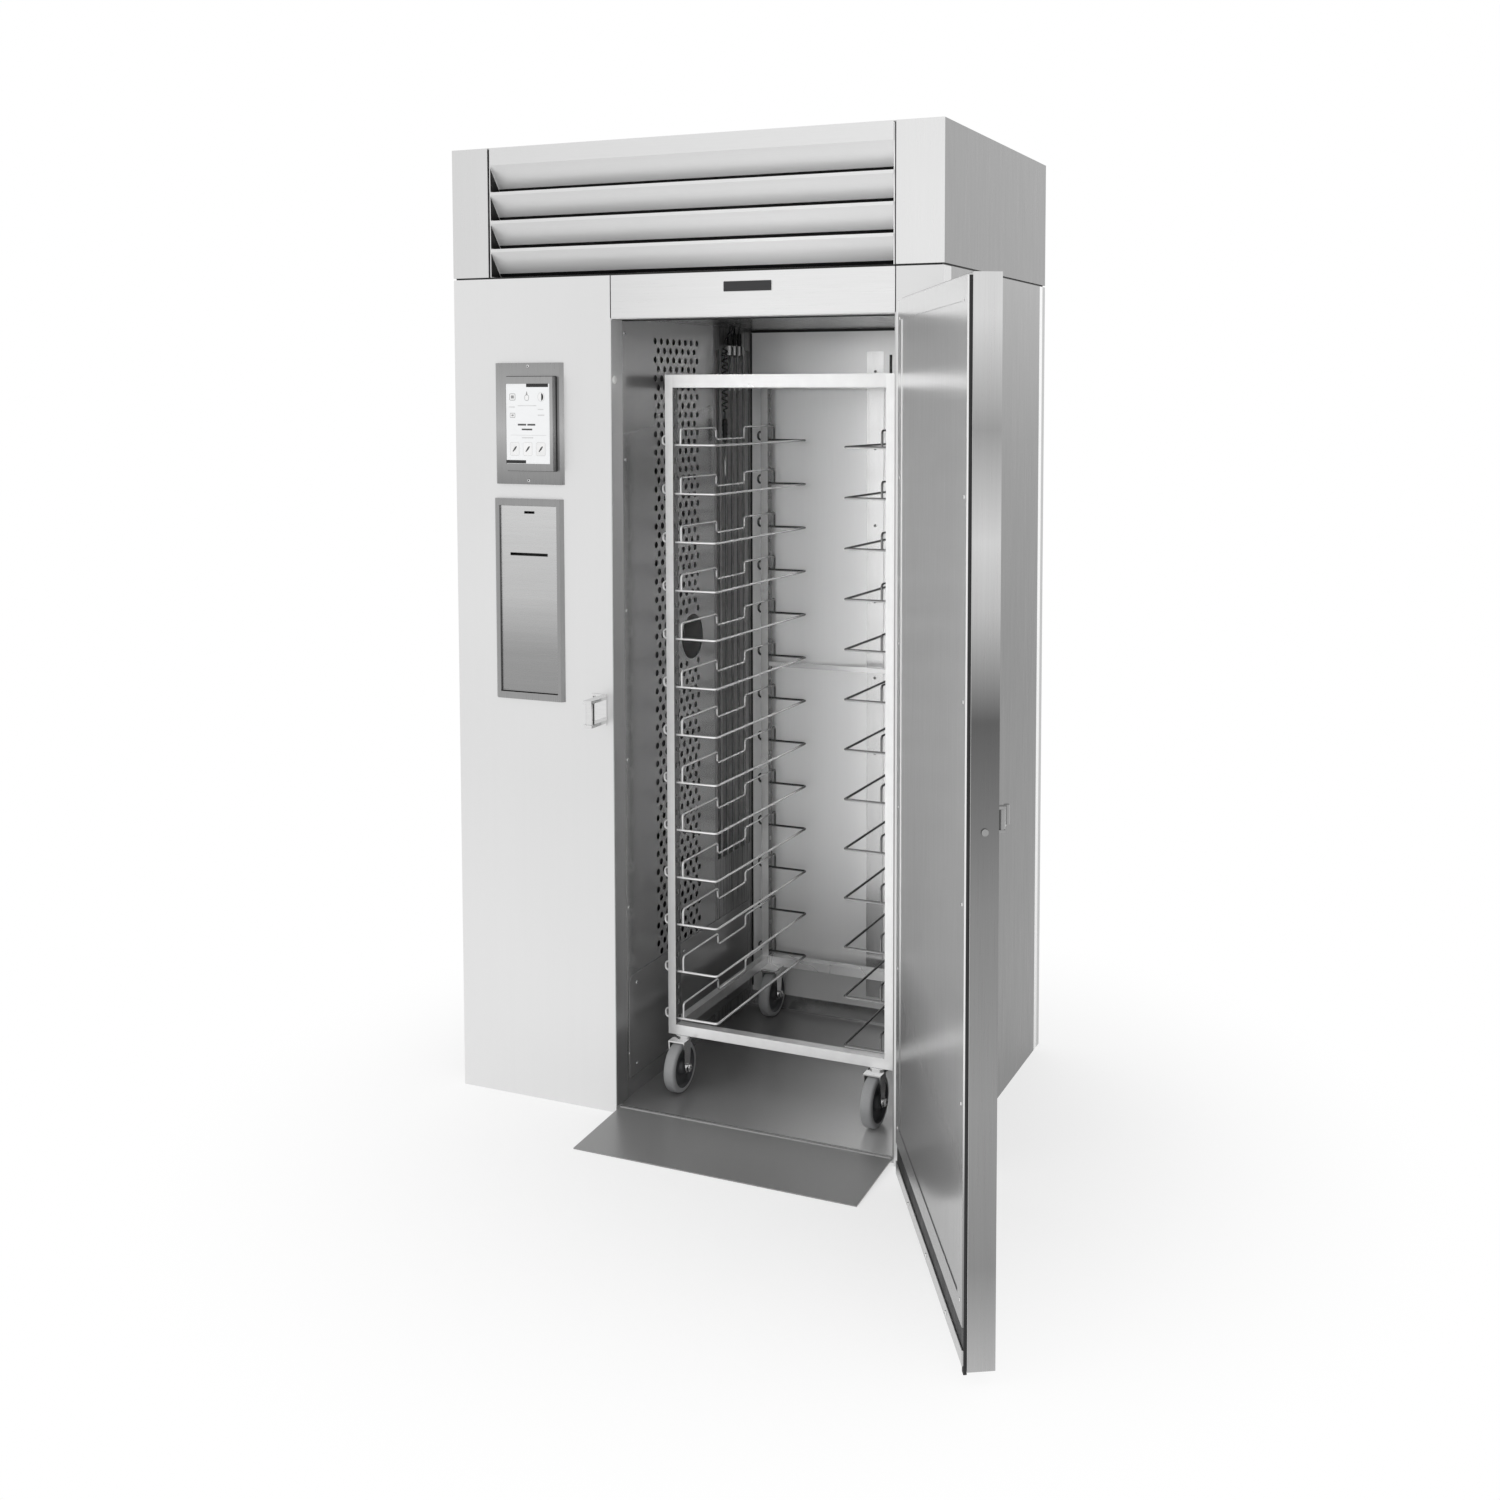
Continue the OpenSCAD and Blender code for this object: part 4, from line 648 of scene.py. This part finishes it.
def probe(piece, at, grip, needle, top):
    """A ribbed grip whose foot is at `at`, with its needle below and its boot above."""
    prof = [(0, 0), (3.4, 0), (5.2, 2)]
    rib = (grip - 10) / 4
    for k in range(4):
        z0 = 4 + k * rib
        prof += [(6.9, z0), (6.9, z0 + 3), (6.2, z0 + 3.6), (6.2, z0 + rib - 0.6)]
    prof += [(6.6, grip - 5), (4.4, grip - 1), (2.5, grip), (2.3, top), (0, top)]
    piece.lathe(prof, at, Z, 24)
    piece.lathe([(0, 2), (2, 2), (2, 14 - needle), (1.7, 8 - needle), (0.3, -needle),
                 (0, -needle)], at, Z, 16, [1] * 5)


HAND_GRIP = 60
hand = Piece("hand_probe", probe_mats)
probe(hand, (LEAD_X, LEAD_Y, LEAD_END - HAND_GRIP), HAND_GRIP, 90, HAND_GRIP)
hand = hand.done("cabinet", "black_plastic")
HELD_X, HELD_Y, HELD_PITCH, HELD_Z = -170, 187, 28, 1796.3
probes = Piece("held_probes", probe_mats)
for i in range(3):
    probe(probes, (HELD_X, HELD_Y + HELD_PITCH * i, HELD_Z), 34, 120, OPEN_TOP - HELD_Z)
probes = probes.done("cabinet", "black_plastic")
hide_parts("food_probes")


# ---- Controls ----

CONTROL_FACE = FRONT - 8
fasteners = [bright_mat, black_mat]
bits = Piece("control_screws", fasteners)
for z in (1735, 1471):
    bits.screw((-401, CONTROL_FACE, z), -Y, 4.2, 1.6)
bits.done("cabinet", "hardware")

gasket = Piece("display_edge", [black_mat])
gasket.prism(rounded(-460.0, -323.0, 1492.5, 1712.5, 3), CONTROL_FACE, CONTROL_FACE - 1.2)
gasket.done("cabinet", "black_seal")

# A plain generic page: blank keys, bars and three tool marks.
S_L, S_R, S_LOW, S_TOP = -450.2, -332.8, 1510.3, 1694.7
S_Y = FRONT - 25 + 0.8
BAR_RISE, KEY_RISE, FILL_RISE, MARK_RISE = 0.15, 0.12, 0.18, 0.24


def su(u):
    """Share of the page's width, from the left, to a place in X."""
    return S_L + u * (S_R - S_L)


def sv(v):
    """Share of the page's height, from the top, to a place in Z."""
    return S_TOP - v * (S_TOP - S_LOW)


page = Piece("screen_page", ink)


def bar(u0, u1, v0, v1, mat):
    page.prism([(su(u0), sv(v1)), (su(u1), sv(v1)), (su(u1), sv(v0)), (su(u0), sv(v0))],
               S_Y, S_Y - BAR_RISE, "y", mat)


def patch(u, v, w, h, r, rise, mat):
    """Rounded rectangle, w and h either way from its centre."""
    page.prism(rounded(su(u) - w, su(u) + w, sv(v) - h, sv(v) + h, r), S_Y, S_Y - rise, "y",
               mat)


def key(u, v, w, h, mat, r, t=1.1):
    """A blank key: a white field in a rim of thickness t."""
    patch(u, v, w, h, r, KEY_RISE, mat)
    patch(u, v, w - t, h - t, max(r - t, 0.5), FILL_RISE, INK_WHITE)


def mark(pts, mat):
    page.prism(pts, S_Y, S_Y - MARK_RISE, "y", mat)


bar(0.47, 0.97, 0.0, 0.042, INK_BLACK)
bar(0.0, 0.45, 0.955, 0.995, INK_BLACK)
key(0.15, 0.165, 8.0, 8.0, INK_MID, 3.0)
patch(0.15, 0.165, 4, 3.5, 1.5, MARK_RISE, INK_MID)
key(0.48, 0.175, 6.0, 7.0, INK_MID, 5.5)
mark([(su(0.48) - 2.4, sv(0.14)), (su(0.48) + 2.4, sv(0.14)), (su(0.48), sv(0.09))], INK_MID)
key(0.81, 0.165, 9.0, 10.5, INK_PALE, 8.5)
mark([(su(0.81) + 0.5 + 5.5 * math.cos(math.radians(a)),
       sv(0.165) + 8.5 * math.sin(math.radians(a))) for a in range(-90, 91, 15)], INK_BLACK)
bar(0.07, 0.20, 0.285, 0.296, INK_PALE)
bar(0.27, 0.70, 0.270, 0.278, INK_PALE)
bar(0.73, 0.86, 0.315, 0.325, INK_PALE)
bar(0.73, 0.88, 0.385, 0.398, INK_PALE)
key(0.15, 0.395, 7.0, 5.5, INK_MID, 2.0)
patch(0.15, 0.395, 3, 2, 0.8, MARK_RISE, INK_MID)
bar(0.27, 0.46, 0.500, 0.522, INK_DARK)
bar(0.49, 0.67, 0.500, 0.522, INK_DARK)
bar(0.36, 0.60, 0.560, 0.580, INK_DARK)
bar(0.10, 0.92, 0.640, 0.644, INK_PALE)
bar(0.36, 0.62, 0.668, 0.680, INK_PALE)
for u in (0.19, 0.49, 0.79):
    key(u, 0.815, 12.5, 15.5, INK_PALE, 4.0, 0.8)
    c = Vector((su(u), sv(0.815)))
    d = Vector((0.62, 0.78))
    n = Vector((-d.y, d.x))
    tool = [c - d * 8 + n * 1, c + d * 2 + n * 2.2, c + d * 8 + n * 1.2, c + d * 8 - n * 1.6,
            c + d * 1 - n * 2.6, c - d * 8 - n * 1]
    mark([tuple(p) for p in tool], INK_DARK)
page.done("cabinet", "screen")

# The header's bare plate: a black field on a bright one that shows as its rim.
P_L, P_R, P_LOW, P_TOP, P_RIM = 99, 217, 1893, 1918, 1.5
plate = Piece("header_plate", [black_mat, bright_mat])
plate.prism(rounded(P_L, P_R, P_LOW, P_TOP, 3), FRONT, FRONT - 1.0, "y", 1)
plate.prism(rounded(P_L + P_RIM, P_R - P_RIM, P_LOW + P_RIM, P_TOP - P_RIM, 2),
            FRONT - 1.0, FRONT - 1.6, "y", 0)
plate.done("cabinet", "black_plastic")


# ---- Fasteners and small fittings ----

# Screws of the keeper, joint strip, hinge brackets, throat trim and kick plates.
screws = Piece("cabinet_screws", fasteners)
for z in (918, 976):
    screws.screw((-234, FRONT - 3, z), -Y, 4, 2)
for z in range(130, 1760, 200):
    screws.screw((173, INNER_BACK - 3, z), -Y, 4, 2)
for z in HINGE_Z:
    for dx, dz in ((-20, -34), (-20, 0), (-20, 34), (22, -34), (22, 34)):
        screws.screw((HINGE[0] + dx, FRONT - 4, z + dz), -Y, 4, 2)
for z in (120, 470, 820, 1170, 1520, 1810):
    screws.screw((OPEN_L + 2, -332, z), X, 4, 1.8)
for y in (-300, -60, 180):
    for z in (84, 280):
        screws.screw((OPEN_L + 4, y, z), X, 4, 1.8)
        screws.screw((OPEN_R - 4, y, z), -X, 4, 1.8)
screws.done("cabinet", "hardware")

lines = Piece("ceiling_joints", [dark_steel])
lines.slab(OPEN_L + 2, OPEN_R - 2, -342.5, -340.5, OPEN_TOP - 5, OPEN_TOP - 0.3)
lines.slab(OPEN_L + 2, OPEN_R, INNER_BACK - 3, INNER_BACK - 0.3, OPEN_TOP - 7, OPEN_TOP - 0.3)
lines.slab(OPEN_L + 2.2, OPEN_L + 5, INNER_BACK - 3, INNER_BACK - 0.3, 60, OPEN_TOP - 8)
lines.done("cabinet", "dark_metal")

# Painted shade: dark strips stand in for the shade under the blades, and dark wedges for the
# shade at their left ends.
blade_shade = Piece("painted_blade_shade", [dark_steel])
SHADE_RISE = 7
shade_back = FRONT + BLADE_DEPTH
shade_lean = SHADE_RISE * BLADE_DEPTH / BLADE_RISE
for k in range(BLADES):
    foot = MACHINE + BLADE_PITCH * k + 4
    blade_shade.prism([(shade_back - 0.4, foot), (shade_back - 0.4 - shade_lean, foot + SHADE_RISE),
                (shade_back - 1.2 - shade_lean, foot + SHADE_RISE), (shade_back - 1.2, foot)],
               GRILLE_L + 0.3, GRILLE_R - 0.3, "x")
    blade_shade.prism([(FRONT + 2.5, foot - 2), (shade_back - 3, foot - 2), (FRONT + 2.5, foot + 50)],
               GRILLE_L + 0.2, GRILLE_L + 0.8, "x")
blade_shade.done("cabinet", "dark_metal")

plug = Piece("throat_plug", [white_mat])
plug.lathe([(9, 0), (9, 1.2), (7.6, 2.6), (4, 3.4), (0, 3.6)], (OPEN_L + 2, -379, 1703), X, 32)
plug.done("cabinet", "hardware")

# Screws of the retainer at the door's foot, and of the liner.
LINER_FACE = -395
door_screws = Piece("door_screws", fasteners, swung)
for x in (-47, 151, 351):
    door_screws.screw((x, LINER_FACE, 45), Y, 4.5, 2.2)
for x in (-172, 490):
    for z in (140, 480, 820, 1160, 1500, 1822):
        door_screws.screw((x, LINER_FACE, z), Y, 3.2, 1.4)
door_screws.done("door", "hardware")

# The door sheet's bright return flange, between its edge and the gasket.
flange = Piece("door_flange", [bright_mat], swung)
for x0, x1, z0, z1 in ((DOOR_L + 1, DOOR_L + 5, DOOR_LOW + 1, DOOR_TOP - 1),
                       (DOOR_R - 5, DOOR_R - 1, DOOR_LOW + 1, DOOR_TOP - 1),
                       (DOOR_L + 5, DOOR_R - 5, DOOR_LOW + 1, DOOR_LOW + 5),
                       (DOOR_L + 5, DOOR_R - 5, DOOR_TOP - 5, DOOR_TOP - 1)):
    flange.slab(x0, x1, DOOR_INNER - 0.3, DOOR_INNER + 0.6, z0, z1)
flange.done("door", "brushed_panel")


# ---- Wheels: soft tread, dark web, bearing and axle nuts ----

TREAD, WEB, HUB = range(3)
FORK_HALF = 26


def wheel(name, body, node, at, fork):
    """A caster's wheel, and its axle nuts on the body that carries the fork."""
    p = Piece(name, [tread_mat, web_mat, bright_mat])
    half = [(5.06, 16), (8.5, 16), (8.5, 15.2), (16.5, 15.2), (17.5, 13.8), (19.5, 7.6),
            (21, 7), (42, 7), (43.5, 8.4), (46.5, 13.2), (48, 14), (49, 13.4), (50, 14),
            (56.5, 13.4), (59, 11.2), (60, 8)]
    mats = [HUB] * 2 + [WEB] * 8 + [TREAD] * 5
    prof = half + [(r, -h) for r, h in reversed(half)] + [half[0]]
    p.lathe(prof, at, X, 72, mats + [TREAD] + mats[::-1] + [HUB])
    obj = p.done(body, "wheel_grey")
    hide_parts(node)
    q = Piece(name + "_nuts", [bright_mat])
    q.nut((at[0] + FORK_HALF, at[1], at[2]), X, 13, 4)
    q.nut((at[0] - FORK_HALF, at[1], at[2]), -X, 13, 4)
    q.done(fork, "hardware")


wheel("front_left_tyre", "front_wheel_left", "wheel_front_left",
      (WHEEL_L, WHEEL_FRONT, AXLE_Z), "caster_left")
wheel("front_right_tyre", "front_wheel_right", "wheel_front_right",
      (WHEEL_R, WHEEL_FRONT, AXLE_Z), "caster_right")
wheel("rear_left_tyre", "rear_wheel_left", "wheel_rear_left",
      (WHEEL_L, WHEEL_REAR, AXLE_Z), "rack")
wheel("rear_right_tyre", "rear_wheel_right", "wheel_rear_right",
      (WHEEL_R, WHEEL_REAR, AXLE_Z), "rack")


# ---- Small bevels on the carried-over solids, for edges that catch light ----

def soften(width, *names):
    """Weld points that coincide, then bevel the edges."""
    for n in names:
        o = nodes[n]
        weld = o.modifiers.new("weld", "WELD")
        weld.merge_threshold = 0.00002
        mod = o.modifiers.new("bevel", "BEVEL")
        mod.width = width / 1000
        mod.segments = 2
        mod.limit_method = "ANGLE"
        mod.angle_limit = math.radians(40)


soften(1.2, "service_panel", "right_jamb", "header_panel", "door_retainer")
soften(0.8, "strike", "latch_bolt", "kick_plates", "rack_base_frame", "rack_bars")


# ---- Light, floor and background ----

def shown_to_eye(tree):
    """1 for camera, glossy and transmission rays."""
    rays = tree.nodes.new("ShaderNodeLightPath")
    seen = rays.outputs["Is Camera Ray"]
    for kind in ("Is Glossy Ray", "Is Transmission Ray"):
        most = tree.nodes.new("ShaderNodeMath")
        most.operation = "MAXIMUM"
        tree.links.new(seen, most.inputs[0])
        tree.links.new(rays.outputs[kind], most.inputs[1])
        seen = most.outputs[0]
    return seen


WORLD_LIGHT, WORLD_SEEN = 0.86, 1.0
world = bpy.data.worlds.new("studio")
scene.world = world
world.use_nodes = True
sky = world.node_tree
backdrop = sky.nodes["Background"]
backdrop.inputs["Color"].default_value = (1, 1, 1, 1)
strength = sky.nodes.new("ShaderNodeMapRange")
strength.inputs["To Min"].default_value = WORLD_LIGHT
strength.inputs["To Max"].default_value = WORLD_SEEN
sky.links.new(shown_to_eye(sky), strength.inputs["Value"])
sky.links.new(strength.outputs["Result"], backdrop.inputs["Strength"])


def area(name, at, aim, size, power):
    """A square soft lamp that no reflection shows."""
    data = bpy.data.lights.new(name, "AREA")
    data.shape = "SQUARE"
    data.size = size
    data.energy = power
    obj = bpy.data.objects.new(name, data)
    scene.collection.objects.link(obj)
    obj.location = at
    obj.rotation_euler = (Vector(aim) - Vector(at)).to_track_quat("-Z", "Y").to_euler()
    obj.visible_glossy = False
    return obj


area("key", (-2.6, -3.4, 4.6), (0, 0, 0.8), 3.0, 36)
area("fill", (3.2, -3.8, 2.6), (0.1, 0, 0.9), 3.0, 14)
# A narrow soft lamp sends light through the doorway to the back wall.
inside = area("inside", (0.35, -2.3, 1.3), (0.16, 0.345, 1.12), 0.4, 0.68)
inside.data.shape = "RECTANGLE"
inside.data.size_y = 1.6
inside.data.spread = math.radians(14)
inside.visible_camera = False

# The ground takes a soft shadow near the object and fades to plain white away from it.
GROUND_HALF, GROUND_THICK = 30000, 20
plain = Piece("studio_floor", [])
plain.slab(-GROUND_HALF, GROUND_HALF, -GROUND_HALF, GROUND_HALF, -GROUND_THICK, 0)
me = bpy.data.meshes.new(plain.name)
plain.bm.to_mesh(me)
plain.bm.free()
ground = bpy.data.objects.new(plain.name, me)
scene.collection.objects.link(ground)
fade = Mat("studio_floor", Base_Color=(0.93, 0.93, 0.93, 1), Roughness=0.9,
           Specular_IOR_Level=0.1)
white = fade.node("ShaderNodeEmission", Color=(1, 1, 1, 1))
spot = fade.node("ShaderNodeTexCoord")
offset = fade.node("ShaderNodeVectorMath", operation="ADD")
offset.inputs[1].default_value = (-0.2, 0.25, 0)
away = fade.node("ShaderNodeVectorMath", operation="LENGTH")
fade.link(spot.outputs["Object"], offset.inputs[0])
fade.link(offset.outputs[0], away.inputs[0])
FADE_FROM, FADE_TO, FADE_LEAST = 0.4, 1.5, 0.6
share = fade.span(away.outputs["Value"], FADE_LEAST, 1.0, FADE_FROM, FADE_TO)
share.node.interpolation_type = "SMOOTHSTEP"
mix = fade.node("ShaderNodeMixShader")
fade.link(fade.math("MULTIPLY", share, shown_to_eye(fade.tree)), mix.inputs[0])
fade.link(fade.bsdf.outputs[0], mix.inputs[1])
fade.link(white.outputs[0], mix.inputs[2])
fade.link(mix.outputs[0], fade.tree.nodes["Material Output"].inputs["Surface"])
me.materials.append(fade.mat)

scene.view_settings.view_transform = "Standard"

bpy.context.view_layer.update()
